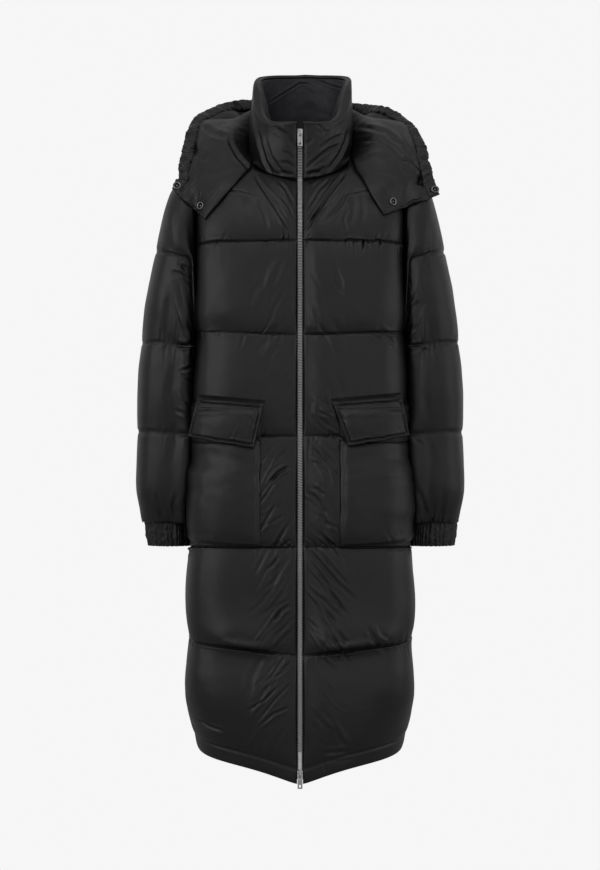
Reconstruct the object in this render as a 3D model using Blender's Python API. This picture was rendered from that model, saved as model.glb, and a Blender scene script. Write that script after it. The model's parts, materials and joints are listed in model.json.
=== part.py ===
"""A long puffer coat, filled out with no wearer: hollow padded panels, sleeves, collar and hood,
and a two-way zip.

The origin is the centre of the neck seam. +Z is up, the coat's front faces -Y, and its left side,
as worn, is at +X. Sizes in the tables and constants are in millimetres, and MM turns them into
Blender's metres. Padded pieces have a smooth inside. Their outside is pinched down to a thin wall
at each quilting line, and puffs out between the lines.
"""

import math

import bmesh
import bpy
from mathutils import Matrix, Vector
from mathutils.bvhtree import BVHTree

MM = 0.001
SHARP_DEGREES = 50  # edges sharper than this aren't shaded smooth
SIDES = (("left", 1), ("right", -1))  # as worn, and the sign of x there

# ------------------------------------------------------------------ driving sizes, in millimetres

SEAM_WALL = 3.0  # padded cloth at a quilting line
HEM_WALL = 4.0  # the turned hem, below its topstitching
PUFF = 13.0  # how far the filling lifts the outside between two quilting lines
SEAM_GAP = 0.3  # between two pieces that are sewn together
SQUARENESS = 2.3  # exponent of the body's rounded section: 2 is an ellipse
ROUNDNESS = 0.7  # exponent of a puff's section: the smaller, the squarer
SIDE_TAPER = 5  # exponent of the body puff's fall towards its side seams
ZIP_PUFF, ZIP_PUFF_RISE = 0.3, 2.4  # share of the puff that is left beside the zip, and its growth
SLEEVE_PUFF = 11.0
ARMHOLE_RINGS = 2.0  # the sleeve's puff grows over this many rings
INNER_THINNING, INNER_TAPER = 0.92, 4  # how much thinner the sleeve's puff is beside the body
OUTER_THINNING, OUTER_TAPER = 0.5, 6  # and along its outer edge

ZIP_EDGE = 6.6  # from the middle to the front panels' zip edges
CHAIN_HALF_WIDTH = 2.8
CHAIN_THICKNESS = 3.4
TAPE_OUTER = 13.0
TAPE_THICKNESS = 0.8
TAPE_SETBACK = 1.6  # behind the panels' inner surface, which curves back a little from the zip

NECK_WIDTH = 77.0  # half the neck seam's width
NECK_DEPTH = 77.0  # half the neck seam's depth
NECK_SLOPE = 0.66  # the neck seam rises towards the back
NECK_LIFT = 6.0  # height of the neck seam at the shoulders
RIM_WIDTH = 75.0
RIM_FRONT = 83.0
RIM_BACK = 74.0
RIM_SLOPE = 0.63
RIM_LIFT = 101.0
COLLAR_WALL = 4.0
COLLAR_PUFF = 11.0
COLLAR_SEAM, COLLAR_SPAN = 0.08, 0.84  # where on a puff's section the collar starts, and its share
COLLAR_ZIP_PUFF = 0.3  # share of the collar's puff that is left beside the zip
COLLAR_ZIP_TURN = 0.5  # radians from the zip at which the collar has its whole puff
RIM_WALL = 9.0
RIM_FROM = 0.6  # the rim is kept full above this fraction of the height
RIM_ROUND, RIM_THIN, RIM_OUT = 4.0, 3.0, 2.0  # the rim's rounding, its least wall, its lean outwards
LINING_WALL = 1.2
LINING_LIFT = 0.4  # between the collar and its lining
LINING_EDGE = 14.5  # from the middle to the lining's front edges, where the zip's tape is sewn on
COLLAR_AROUND = 20
COLLAR_HEIGHTS = (0.07, 0.16, 0.32, 0.52, 0.72, 0.88, 1.0)  # fractions from neck seam to rim

HEM_STRAIGHTNESS = 0.5  # how straight the hem runs from the middle to the sides
STRAIGHT_ABOVE, STRAIGHT_OVER = -700.0, 250.0  # where that starts, and the drop that it takes

ARMHOLE_X = 168.0
ARMHOLE_MID_Z = -164.0
ARMHOLE_HALF_HEIGHT = 126.0
ARMHOLE_HALF_DEPTH = 66.0

SNAP_RADIUS = 7.0
SNAP_HEIGHT = 2.6
SNAP_TAPER = 0.92  # the cap's top radius as a share of its foot's
SNAP_RIM, SNAP_DIMPLE = 0.45, 0.35  # the dimple's inset and depth, as shares of radius and height
SNAP_SIDES = 20
SNAP_LIFT_INNER, SNAP_LIFT_OUTER = 1.5, 0.6  # gaps under the caps, where the cloth curves away

# The body's levels from hem to neck. zip_z, back_z and side_z are the heights at the zip, at the
# centre back and at the side seam, armhole or shoulder seam. side_x is how far out that seam lies,
# and front and back are the depths.
BODY_COLUMNS = ("name", "zip_z", "back_z", "side_z", "side_x", "front", "back", "steps", "quilted")
BODY_LEVELS = (
    ("hem", -1037, -1020, -985, 174, 157, 140, 1, False),
    ("hem_stitch", -1012, -996, -960, 179, 159, 143, 2, True),
    ("skirt", -918, -895, -880, 189, 162, 148, 2, False),
    ("quilt_5", -824, -800, -789, 187, 160, 148, 4, True),
    ("quilt_4", -648, -640, -649, 172, 158, 145, 1, True),
    ("pocket_foot", -632, -618, -614, 169, 158, 144, 2, False),
    ("hip", -562, -560, -562, 163, 157, 140, 2, False),
    ("flap_foot", -491, -485, -479, 161, 155, 137, 1, False),
    ("quilt_3", -466, -462, -466, 161, 154, 136, 2, True),
    ("flap_head", -413, -402, -402, 161, 152, 134, 3, False),
    ("quilt_2", -299, -292, -290, 163, 147, 130, 1, True),
    ("armhole_low", -246, -238, -240, 167, 142, 127, 2, False),
    ("quilt_1", -146, -140, -151, ARMHOLE_X, 132, 122, 1, True),
    ("armhole_mid", -114, -90, -98, ARMHOLE_X, 120, 115, 1, False),
    ("armhole_top", -94, -48, -60, ARMHOLE_X, 110, 106, 1, False),
    ("shoulder_tip", -83, -16, -38, 167, 104, 99, 1, False),
    ("shoulder", -66, 20, -17, 128, 93, 90, 1, False),
    ("neck", -44.8, 56.8, 6, NECK_WIDTH, NECK_DEPTH, NECK_DEPTH, 0, True),
)
FRONT_ACROSS = (0.0, 0.08, 0.215, 0.37, 0.54, 0.72, 0.87, 1.0)
POCKET_COLUMNS = (2, 5)
POCKET_LIFT, POCKET_EDGE, POCKET_MIDDLE = 0.4, 4.0, 9.0
FLAP_LIFT, FLAP_WALL = 0.5, 5.0
FLAP_HEAD_END = (163, -104)  # the flap's outer end, x and y, clear of the side: at its head
FLAP_FOOT_END = (177, -100)  # and at its foot
BACK_ACROSS = (-1.0, -0.84, -0.68, -0.52, -0.36, -0.18, 0.0, 0.18, 0.36, 0.52, 0.68, 0.84, 1.0)

# The sleeve's rings, from the armhole to the cuff seam. out_x, out_z is the ring's outer end,
# in_x, in_z its inner end, half_depth its half depth and y its middle.
SLEEVE_COLUMNS = ("out_x", "out_z", "in_x", "in_z", "half_depth", "y")
SLEEVE_RINGS = (
    (171, -36, 171, -291, 66, 0),
    (187, -39, 176, -298, 71, 0),
    (203, -54, 177, -304, 75, -1),
    (215, -84, 177, -310, 78, -2),
    (225, -120, 176, -318, 80, -3),
    (235, -160, 176, -328, 81, -4),
    (244, -215, 175, -342, 81, -5),
    (252, -266, 175, -358, 80, -6),
    (259, -312, 174, -378, 80, -7),
    (262, -355, 174, -402, 79, -8),
    (265, -400, 174, -430, 79, -10),
    (269, -450, 174, -464, 78, -12),
    (270, -505, 175, -508, 77, -15),
    (271, -550, 177, -550, 74, -18),
    (267, -588, 181, -588, 64, -20),
    (263, -611, 185, -611, 50, -21),
)
SLEEVE_AROUND = 14
# Quilting lines round the sleeve: their heights at its outer and inner ends.
SLEEVE_LINES = ((-20, -20), (-157, -190), (-310, -322), (-459, -467), (-611, -611))

# The cuff's rings: height, middle, half width and half depth.
CUFF_RINGS = (
    (-613.5, 225, 37, 50),
    (-622, 224, 34, 46),
    (-646, 223, 33, 45),
    (-657, 222, 32, 43),
)
CUFF_Y = -21.0
CUFF_WALL = 5.0

# The hood's sections from a front end to the middle of the back. Each row gives the neck edge, the
# fold that stands up beside the collar, how far the pouch hangs below that fold, its reach, and the
# face opening's edge. The two sides lie a little differently.
HOOD_RIGHT = (
    ((-158, -92, -115), (-174, -87, -99), 0, 0, (-215, -80, -60)),
    ((-122, -97, -72), (-150, -90, -52), 0, 0, (-210, -66, -36)),
    ((-90, -62, -28), (-132, -60, -4), 0, 0, (-205, -42, -6)),
    ((-86, -18, 0), (-126, -12, 44), 26, 8, (-200, -10, 28)),
    ((-79, 34, 32), (-110, 42, 76), 60, 34, (-188, 48, 66)),
    ((-54, 70, 56), (-74, 90, 102), 150, 44, (-146, 108, 101)),
    ((-26, 85, 68), (-36, 106, 114), 240, 50, (-82, 156, 122)),
)
HOOD_LEFT = (
    ((139, -100, -108), (166, -94, -98), 0, 0, (237, -78, -70)),
    ((112, -98, -64), (150, -90, -48), 0, 0, (230, -62, -40)),
    ((90, -62, -26), (134, -60, -2), 0, 0, (226, -40, -8)),
    ((86, -18, 0), (128, -12, 46), 26, 8, (220, -10, 22)),
    ((79, 34, 32), (112, 42, 78), 60, 34, (200, 48, 62)),
    ((54, 70, 56), (76, 90, 102), 150, 44, (156, 108, 98)),
    ((26, 85, 68), (36, 106, 114), 240, 50, (86, 156, 120)),
)
HOOD_BACK = ((0, 88, 70), (0, 110, 118), 268, 52, (0, 172, 126))


# ------------------------------------------------------------------ curves through a table


def tangents(keys, values):
    """A slope at each key, zero at a turning point, so that the curve never overshoots its table."""
    steps = [(b - a) / (q - p) for p, q, a, b in zip(keys, keys[1:], values, values[1:])]
    inner = [2 * p * q / (p + q) if p * q > 0 else 0.0 for p, q in zip(steps, steps[1:])]
    return [steps[0], *inner, steps[-1]]


def curve_through(keys, values):
    slopes = tangents(keys, values)

    def at(key):
        last = len(keys) - 2
        i = min(max(sum(key >= k for k in keys) - 1, 0), last)
        width = keys[i + 1] - keys[i]
        t = (key - keys[i]) / width
        ends = (2 * t**3 - 3 * t**2 + 1) * values[i] + (3 * t**2 - 2 * t**3) * values[i + 1]
        pulls = (t**3 - 2 * t**2 + t) * slopes[i] + (t**3 - t**2) * slopes[i + 1]
        return ends + width * pulls

    return at


def dipped(fraction):
    """The rise of a puff between two seams, from 0 at a seam to 1 in the middle."""
    inside = min(max(fraction, 0.0), 1.0)
    return math.sin(math.pi * inside) ** ROUNDNESS if 0 < inside < 1 else 0.0


def quarter(t, width, depth):
    """A point of the rounded section at the polar angle t from the depth axis."""
    s, c = abs(math.sin(t)), abs(math.cos(t))
    radius = ((s / width) ** SQUARENESS + (c / depth) ** SQUARENESS) ** (-1 / SQUARENESS)
    return radius * math.sin(t), radius * math.cos(t)


# ------------------------------------------------------------------ objects


def clear_scene():
    for thing in list(bpy.data.objects):
        bpy.data.objects.remove(thing, do_unlink=True)


def material(name, colour, roughness, metallic=0.0):
    made = bpy.data.materials.new(name)
    made.use_nodes = True
    shader = made.node_tree.nodes["Principled BSDF"]
    shader.inputs["Base Color"].default_value = (*colour, 1.0)
    shader.inputs["Roughness"].default_value = roughness
    shader.inputs["Metallic"].default_value = metallic
    return made


def add_object(name, points, faces, finish, smooth=True):
    mesh = bpy.data.meshes.new(name)
    mesh.from_pydata([p * MM for p in points], [], faces)
    built = bmesh.new()
    built.from_mesh(mesh)
    bmesh.ops.recalc_face_normals(built, faces=built.faces)
    if built.calc_volume(signed=True) < 0:
        bmesh.ops.reverse_faces(built, faces=built.faces)
    built.to_mesh(mesh)
    built.free()
    mesh.materials.append(material(name, *finish))
    if smooth:
        mesh.shade_smooth()
        mesh.set_sharp_from_angle(angle=math.radians(SHARP_DEGREES))
    made = bpy.data.objects.new(name, mesh)
    bpy.context.scene.collection.objects.link(made)
    return made


def wall(name, inner, outer, finish, around=False):
    """A closed wall between two grids of points, rows first, with no side edges if it runs around.

    Both grids are cut into triangles the same way, so a piece made from another's points lies flush.
    """
    rows, columns = len(inner), len(inner[0])
    points = [p for grid in (inner, outer) for row in grid for p in row]
    shift = rows * columns
    spans = columns if around else columns - 1

    def at(row, column, layer):
        return layer * shift + row * columns + column % columns

    faces = []
    for r in range(rows - 1):
        for c in range(spans):
            for layer in (0, 1):
                a, b = at(r, c, layer), at(r, c + 1, layer)
                d, e = at(r + 1, c + 1, layer), at(r + 1, c, layer)
                faces += [(a, b, d), (a, d, e)] if layer else [(d, b, a), (e, d, a)]
    for r in (0, rows - 1):
        for c in range(spans):
            faces.append([at(r, c, 0), at(r, c + 1, 0), at(r, c + 1, 1), at(r, c, 1)])
    SURFACES[name] = (inner, outer, around)
    if not around:
        for c in (0, columns - 1):
            for r in range(rows - 1):
                faces.append([at(r, c, 0), at(r + 1, c, 0), at(r + 1, c, 1), at(r, c, 1)])
    return add_object(name, points, faces, finish)


def box(low, high):
    """A box's points and faces."""
    xs, ys, zs = zip(low, high)
    points = [Vector((x, y, z)) for x in xs for y in ys for z in zs]
    faces = [(0, 1, 3, 2), (4, 6, 7, 5), (0, 4, 5, 1), (2, 3, 7, 6), (0, 2, 6, 4), (1, 5, 7, 3)]
    return points, faces


def join_boxes(name, boxes, finish):
    """One solid from boxes that overlap, joined by Boolean unions."""
    base = add_object(name, *box(*boxes[0]), finish, smooth=False)
    for i, (low, high) in enumerate(boxes[1:]):
        helper = add_object(f"{name}_helper_{i}", *box(low, high), finish, smooth=False)
        helper.hide_render = True
        helper.display_type = "WIRE"
        union = base.modifiers.new(f"join_{i}", "BOOLEAN")
        union.operation = "UNION"
        union.object = helper
    return base


SURFACES = {}  # each wall's inner and outer grids, and whether it runs all round

NYLON = ((0.022, 0.022, 0.024), 0.42)
LINING = ((0.020, 0.021, 0.028), 0.5)
RIB = ((0.018, 0.018, 0.020), 0.6)
TAPE = ((0.012, 0.012, 0.013), 0.7)
METAL = ((0.42, 0.42, 0.43), 0.3, 1.0)


# ------------------------------------------------------------------ the body's form

LEVEL_STEP, ACROSS_STEP = 0.16, 0.004  # steps in height and across for a normal
LEVEL = {row[0]: row[3] for row in BODY_LEVELS}
QUILTS = [row[3] for row in BODY_LEVELS if row[8]]


def body_columns():
    keys = [row[3] for row in BODY_LEVELS]
    return {
        name: curve_through(keys, [row[i] for row in BODY_LEVELS])
        for i, name in enumerate(BODY_COLUMNS)
        if name in ("zip_z", "back_z", "side_x", "front", "back")
    }


BODY = body_columns()


def armhole_y(level):
    """How far before or behind the shoulder line the armhole seam lies at this height."""
    rise = (level - ARMHOLE_MID_Z) / ARMHOLE_HALF_HEIGHT
    return ARMHOLE_HALF_DEPTH * math.sqrt(max(1 - rise * rise, 0.0))


def body_point(level, across, back):
    """A point of the body's inner surface: across runs from 0 at the middle to 1 at the seam.

    back picks the back panel rather than a front.
    """
    depth = BODY["back" if back else "front"](level)
    side_x = BODY["side_x"](level)
    side_y = armhole_y(level)
    width = side_x / (1 - (side_y / depth) ** SQUARENESS) ** (1 / SQUARENESS)
    end = math.atan2(side_x, side_y)
    first = 0.0 if back else math.asin(ZIP_EDGE / depth)
    t = first + (end - first) * abs(across)
    x, y = quarter(t, width, depth)
    middle_z = BODY["back_z" if back else "zip_z"](level)
    straight = HEM_STRAIGHTNESS * min(max((STRAIGHT_ABOVE - level) / STRAIGHT_OVER, 0.0), 1.0)
    fall = math.cos(math.pi / 2 * t / end) * (1 - straight) + (1 - t / end) * straight
    z = level + (middle_z - level) * fall
    return Vector((x if across >= 0 else -x, y if back else -y, z))


def outward(place, a, b):
    """The unit normal of a surface place(a, b), by small steps along it."""
    along_a = place(a + LEVEL_STEP, b) - place(a - LEVEL_STEP, b)
    along_b = place(a, b + ACROSS_STEP) - place(a, b - ACROSS_STEP)
    return along_a.cross(along_b).normalized()


def body_puff(level, across, back):
    """The panel's thickness here: thin at quilting lines, seams and the zip."""
    if level < QUILTS[0]:
        return HEM_WALL
    low = max(line for line in QUILTS if line <= level)
    high = min((line for line in QUILTS if line > level), default=low)
    rise = dipped((level - low) / (high - low)) if high > low else 0.0
    by_zip = 1.0 if back else min(1.0, ZIP_PUFF + ZIP_PUFF_RISE * across)
    return SEAM_WALL + PUFF * rise * by_zip * (1 - abs(across) ** SIDE_TAPER)


def body_rows():
    """The heights of the grid's rows, from the table's levels and the steps between them."""
    heights = []
    for row, above in zip(BODY_LEVELS, BODY_LEVELS[1:]):
        heights += [row[3] + (above[3] - row[3]) * i / row[7] for i in range(row[7])]
    return [*heights, BODY_LEVELS[-1][3]]


ROWS = body_rows()


def seam_inset(point, back):
    """Keeps a panel's wall clear of the side and shoulder seams, on the panel's own side."""
    y = max(point.y, SEAM_GAP) if back else min(point.y, -SEAM_GAP)
    return Vector((point.x, y, point.z))


def body_grid(columns, back, side):
    """Rows of (inner point, outer point) of a panel. A front panel is on the side given by the sign."""
    grid = []
    for level in ROWS:
        row = []
        for across in columns:
            def place(a, b):
                return body_point(min(max(a, ROWS[0]), ROWS[-1]), b, back)

            inner = body_point(level, across, back)
            if across == 0 and back:
                normal = outward(place, level, 0.001)
                normal.x = 0
            else:
                normal = outward(place, level, across)
            if normal.dot(Vector((inner.x, inner.y, 0))) < 0:
                normal.negate()
            if abs(across) == 1 and armhole_y(level) == 0:
                normal.y = 0
            outer = inner + normal.normalized() * body_puff(level, across, back)
            pair = [seam_inset(p, back) for p in (inner, outer)]
            if not back:
                pair = [Vector((max(p.x, ZIP_EDGE), p.y, p.z)) for p in pair]
            if side < 0:
                pair = [Vector((-p.x, p.y, p.z)) for p in pair]
            row.append(tuple(pair))
        grid.append(row)
    return grid


def split(grid):
    return [[pair[0] for pair in row] for row in grid], [[pair[1] for pair in row] for row in grid]


def build_body():
    grids = {}
    for side, sign in SIDES:
        name = f"front_{side}"
        grids[name] = body_grid(FRONT_ACROSS, False, sign)
        wall(name, *split(grids[name]), NYLON)
    grids["back"] = body_grid(BACK_ACROSS, True, 1)
    wall("back", *split(grids["back"]), NYLON)
    return grids


# ------------------------------------------------------------------ what lies on the fronts


def patch(grid, rows):
    """A pocket made from a panel's own points, moved out: thin at its edges, thick in its middle."""
    inner, outer = [], []
    first, last = POCKET_COLUMNS
    for r in range(rows[0], rows[1] + 1):
        inner.append([])
        outer.append([])
        for c in range(first, last + 1):
            below, above = grid[r][c]
            normal = (above - below).normalized()
            rise = dipped((r - rows[0]) / (rows[1] - rows[0])) * dipped((c - first) / (last - first))
            thick = POCKET_EDGE + (POCKET_MIDDLE - POCKET_EDGE) * rise
            inner[-1].append(above + normal * POCKET_LIFT)
            outer[-1].append(above + normal * (POCKET_LIFT + thick))
    return inner, outer


def build_flap(side, sign, panel, pocket_out, first_row, rows):
    """A flap on a pocket's points, whose outer end leaves the pocket and stands clear of the sleeve."""
    inner, outer = [], []
    head, foot = (Vector((sign * x, y, 0)) for x, y in (FLAP_HEAD_END, FLAP_FOOT_END))
    for r in rows:
        inner.append([])
        outer.append([])
        for i, place in enumerate(pocket_out[r - first_row][:-1]):
            below, above = panel[r][POCKET_COLUMNS[0] + i]
            normal = (above - below).normalized()
            inner[-1].append(place + normal * FLAP_LIFT)
            outer[-1].append(place + normal * (FLAP_LIFT + FLAP_WALL))
        end = head.lerp(foot, (rows[-1] - r) / (rows[-1] - rows[0]))
        end.z = inner[-1][-1].z
        span = end - inner[-1][-1]
        away = Vector((span.y, -span.x, 0)).normalized() * sign
        inner[-1].append(end)
        outer[-1].append(end + away * FLAP_WALL)
    wall(f"pocket_flap_{side}", inner, outer, NYLON)


def build_pockets(grids):
    foot, head = ROWS.index(LEVEL["pocket_foot"]), ROWS.index(LEVEL["flap_head"])
    flap_rows = range(ROWS.index(LEVEL["flap_foot"]), head + 1)
    for side, sign in SIDES:
        panel = grids[f"front_{side}"]
        inner, outer = patch(panel, (foot, head))
        wall(f"pocket_{side}", inner, outer, NYLON)
        build_flap(side, sign, panel, outer, foot, flap_rows)


# ------------------------------------------------------------------ sleeves and cuffs


def sleeve_ring(at, turn):
    """A point of the sleeve's inner surface: at counts the rings, turn is 0 at a ring's outer end."""
    ends = {name: SLEEVE[name](at) for name in SLEEVE_COLUMNS}
    out = Vector((ends["out_x"], 0, ends["out_z"]))
    inn = Vector((ends["in_x"], 0, ends["in_z"]))
    middle, arm = (out + inn) / 2, (out - inn) / 2
    c, s = math.cos(turn), math.sin(turn)
    power = 2 / SQUARENESS
    point = middle + arm * (math.copysign(abs(c) ** power, c))
    point.y = ends["y"] + ends["half_depth"] * math.copysign(abs(s) ** power, s)
    return point


RING_STEP, TURN_STEP = 0.1, 0.05  # steps along and round the sleeve for a normal
SLEEVE = {
    name: curve_through(list(range(len(SLEEVE_RINGS))), [row[i] for row in SLEEVE_RINGS])
    for i, name in enumerate(SLEEVE_COLUMNS)
}


def sleeve_puff(point, at, turn):
    inward = (1 - math.cos(turn)) / 2
    lines = [out + (inn - out) * inward for out, inn in SLEEVE_LINES]
    rise = 0.0
    for top, foot in zip(lines, lines[1:]):
        if foot <= point.z <= top:
            rise = dipped((top - point.z) / (top - foot))
    by_armhole = math.sqrt(min(at / ARMHOLE_RINGS, 1.0))
    thinner = INNER_THINNING * inward**INNER_TAPER + OUTER_THINNING * (1 - inward) ** OUTER_TAPER
    return SEAM_WALL + SLEEVE_PUFF * rise * by_armhole * (1 - thinner)


def build_sleeve(side, sign):
    inner, outer = [], []
    last = len(SLEEVE_RINGS) - 1
    for i in range(last + 1):
        inner.append([])
        outer.append([])
        before, after = max(i - RING_STEP, 0), min(i + RING_STEP, last)
        for k in range(SLEEVE_AROUND):
            turn = 2 * math.pi * (k + 0.5) / SLEEVE_AROUND
            point = sleeve_ring(i, turn)
            along = sleeve_ring(after, turn) - sleeve_ring(before, turn)
            around = sleeve_ring(i, turn + TURN_STEP) - sleeve_ring(i, turn - TURN_STEP)
            normal = along.cross(around).normalized()
            ends = SLEEVE_RINGS[i]
            middle = Vector(((ends[0] + ends[2]) / 2, ends[5], (ends[1] + ends[3]) / 2))
            if normal.dot(point - middle) < 0:
                normal.negate()
            if i == 0:
                normal.x = 0
                normal.normalize()
            for grid, lift in ((inner, 0.0), (outer, sleeve_puff(point, i, turn))):
                moved = point + normal * lift
                grid[-1].append(Vector((moved.x * sign, moved.y, moved.z)))
    wall(f"sleeve_{side}", inner, outer, NYLON, around=True)


def build_cuff(side, sign):
    inner, outer = [], []
    for z, x, half_width, half_depth in CUFF_RINGS:
        for grid, lift in ((inner, 0.0), (outer, CUFF_WALL)):
            row = []
            for k in range(SLEEVE_AROUND):
                turn = 2 * math.pi * (k + 0.5) / SLEEVE_AROUND
                px = x + (half_width + lift) * math.cos(turn)
                py = CUFF_Y + (half_depth + lift) * math.sin(turn)
                row.append(Vector((px * sign, py, z)))
            grid.append(row)
    wall(f"cuff_{side}", inner, outer, RIB, around=True)


# ------------------------------------------------------------------ collar


def collar_ring(turn, height):
    """A point of the collar's inner surface: turn is 0 at the zip, height 0 at the seam, 1 at the rim."""
    x0, y0 = quarter(turn, NECK_WIDTH, NECK_DEPTH)
    rim_depth = RIM_FRONT if math.cos(turn) > 0 else RIM_BACK
    x1, y1 = quarter(turn, RIM_WIDTH, rim_depth)
    low = Vector((x0, -y0, NECK_LIFT - NECK_SLOPE * y0))
    high = Vector((x1, -y1, RIM_LIFT - RIM_SLOPE * y1))
    return low.lerp(high, height)


def collar_turns():
    """Turns round the collar between its zip edges. The lining takes all but the first and last."""
    edge, start = (math.asin(x / NECK_DEPTH) for x in (ZIP_EDGE, LINING_EDGE))
    span = (2 * math.pi - 2 * start) / COLLAR_AROUND
    return [edge, *(start + span * i for i in range(COLLAR_AROUND + 1)), 2 * math.pi - edge]


def collar_wall(height, to_edge):
    """The collar's thickness: padded, thin at the neck seam and the zip, and rounded over at the rim."""
    by_zip = math.sqrt(min(1.0, to_edge / COLLAR_ZIP_TURN))
    share = COLLAR_ZIP_PUFF + (1 - COLLAR_ZIP_PUFF) * by_zip
    thick = COLLAR_WALL + COLLAR_PUFF * dipped(COLLAR_SEAM + COLLAR_SPAN * height) * share
    if height > RIM_FROM:
        thick = max(thick, RIM_WALL * (1 + by_zip) / 2)
    return max(thick - RIM_ROUND, RIM_THIN) if height == 1 else thick


def build_collar():
    turns = collar_turns()
    inner, outer = [], []
    for height in COLLAR_HEIGHTS:
        inner.append([])
        outer.append([])
        for i, turn in enumerate(turns):
            point = collar_ring(turn, height)
            away = Vector((point.x, point.y, 0)).normalized()
            to_edge = max(0.0, min(turn - turns[0], turns[-1] - turn))
            if height == 1:
                point = point + away * RIM_OUT
            for grid, lift in ((inner, 0.0), (outer, collar_wall(height, to_edge))):
                moved = point + away * lift
                if i in (0, len(turns) - 1):
                    moved.x = math.copysign(ZIP_EDGE, math.sin(turn))
                grid[-1].append(moved)
    wall("collar", inner, outer, NYLON)
    near, far = [], []
    for height in COLLAR_HEIGHTS:
        for grid, lift in ((far, LINING_LIFT + LINING_WALL), (near, LINING_LIFT)):
            grid.append([])
            for turn in turns[1:-1]:
                point = collar_ring(turn, height)
                grid[-1].append(point - Vector((point.x, point.y, 0)).normalized() * lift)
    wall("collar_lining", far, near, LINING)


# ------------------------------------------------------------------ zip


def zip_nodes():
    """The zip's points (height, depth) from hem to rim, on the panels' own rows, so it lies flush."""
    turn = math.asin(ZIP_EDGE / NECK_DEPTH)
    rim = [collar_ring(turn, height) for height in COLLAR_HEIGHTS]
    fronts = [body_point(level, 0, False) for level in ROWS]
    return [(p.z, -p.y) for p in fronts + rim]


ZIP_NODES = zip_nodes()
CHAIN_FOOT, CHAIN_HEAD = -1030.0, 36.0
ZIP_SETBACK = 0.6  # the chain's middle lies this far outside the panels' inner surface
ZIP_SLOPE_STEP = 2.0
ROW_CLEARANCE = 2.0  # a row nearer than this to the chain's end is left out


def zip_depth(z):
    below = max((i for i, node in enumerate(ZIP_NODES[:-1]) if node[0] <= z), default=0)
    (z0, y0), (z1, y1) = ZIP_NODES[below], ZIP_NODES[below + 1]
    return y0 + (y1 - y0) * (z - z0) / (z1 - z0)


def zip_frame(z):
    """A point on the zip's line, and its outward normal."""
    slope = (zip_depth(z + ZIP_SLOPE_STEP) - zip_depth(z - ZIP_SLOPE_STEP)) / (2 * ZIP_SLOPE_STEP)
    normal = Vector((0, -1, -slope)).normalized()
    return Vector((0, -zip_depth(z), z)), normal


def zip_rows():
    inside = [z for z, _ in ZIP_NODES if CHAIN_FOOT + ROW_CLEARANCE < z < CHAIN_HEAD - ROW_CLEARANCE]
    return [CHAIN_FOOT, *inside, CHAIN_HEAD]


def strip(name, xs, low, high, rows, finish):
    """A strip along the zip, between two distances along the normal."""
    grids = ([], [])
    for z in rows:
        point, normal = zip_frame(z)
        for grid, lift in zip(grids, (low, high)):
            grid.append([point + normal * lift + Vector((x, 0, 0)) for x in xs])
    return wall(name, *grids, finish)


def build_zip():
    rows = zip_rows()
    low = ZIP_SETBACK - CHAIN_THICKNESS / 2
    strip("zip_chain", (-CHAIN_HALF_WIDTH, CHAIN_HALF_WIDTH), low, low + CHAIN_THICKNESS, rows, METAL)
    for side, sign in SIDES:
        xs = (sign * (CHAIN_HALF_WIDTH + SEAM_GAP), sign * TAPE_OUTER)
        strip(f"zip_tape_{side}", xs, -TAPE_SETBACK - TAPE_THICKNESS, -TAPE_SETBACK, rows, TAPE)


SLIDER_HALF_WIDTH, SLIDER_HALF_HEIGHT, SLIDER_PLATE = 4.6, 6.5, 1.6
SLIDER_INSET = 2.5  # from the chain's end to the slider's middle
SLIDER_GAP = 0.3  # between the slider's plates and what they slide on
POST_LENGTH, POST_HALF_WIDTH = 3.0, 1.8  # the block that joins the two plates
CROWN_HALF_WIDTH, CROWN_GAP, CROWN_BAR, CROWN_LEG = 1.0, 3.0, 1.4, 1.4
OVERLAP, PULL_OVERLAP = 0.5, 2.0  # between boxes that a Boolean joins
PULL_HALF_WIDTH, PULL_LENGTH, PULL_THICKNESS = 4.0, 23.0, 1.6
PULL_CLEARANCE, PULL_BRIDGE = 0.7, 1.8  # the window's room beside and below the crown
SLOT_HALF_WIDTH, SLOT_TOP, SLOT_FOOT = 1.4, 6.4, 2.4  # the slot, above the pull's free end


def place_on_zip(piece, z):
    """Turns a piece built along the world's axes onto the zip at this height."""
    point, normal = zip_frame(z)
    across = Vector((-1, 0, 0))
    upward = across.cross(normal).normalized()
    if upward.z < 0:
        across.negate()
        upward.negate()
    turn = Matrix((across, normal, upward)).transposed().to_4x4()
    piece.matrix_world = Matrix.Translation(point * MM) @ turn


def named(start):
    return [o for o in bpy.data.objects if o.name.startswith(start)]


def build_slider(end, z, way):
    """A slider: two plates round the chain, joined past its end, and a crown for the pull tab.

    way is 1 where the joined end points up, and -1 where it points down.
    """
    front = ZIP_SETBACK + CHAIN_THICKNESS / 2 + SLIDER_GAP
    rear = -TAPE_SETBACK - TAPE_THICKNESS - SLIDER_GAP
    top = front + SLIDER_PLATE
    w, h, c = SLIDER_HALF_WIDTH, SLIDER_HALF_HEIGHT, CROWN_HALF_WIDTH
    foot, head = sorted((way * (h - POST_LENGTH), way * h))
    crown_top = top + CROWN_GAP + CROWN_BAR
    leg = CROWN_GAP + CROWN_LEG
    boxes = [
        ((-w, front, -h), (w, top, h)),
        ((-w, rear - SLIDER_PLATE, -h), (w, rear, h)),
        ((-POST_HALF_WIDTH, rear - OVERLAP, foot), (POST_HALF_WIDTH, front + OVERLAP, head)),
        ((-c, top - OVERLAP, CROWN_GAP), (c, crown_top, leg)),
        ((-c, top - OVERLAP, -leg), (c, crown_top, -CROWN_GAP)),
        ((-c, top + CROWN_GAP, -leg), (c, crown_top, leg)),
    ]
    join_boxes(f"zip_slider_{end}", boxes, METAL)
    for piece in named(f"zip_slider_{end}"):
        place_on_zip(piece, z)
    point, normal = zip_frame(z)
    build_pull(end, point + normal * (top + CROWN_GAP / 2))


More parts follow.
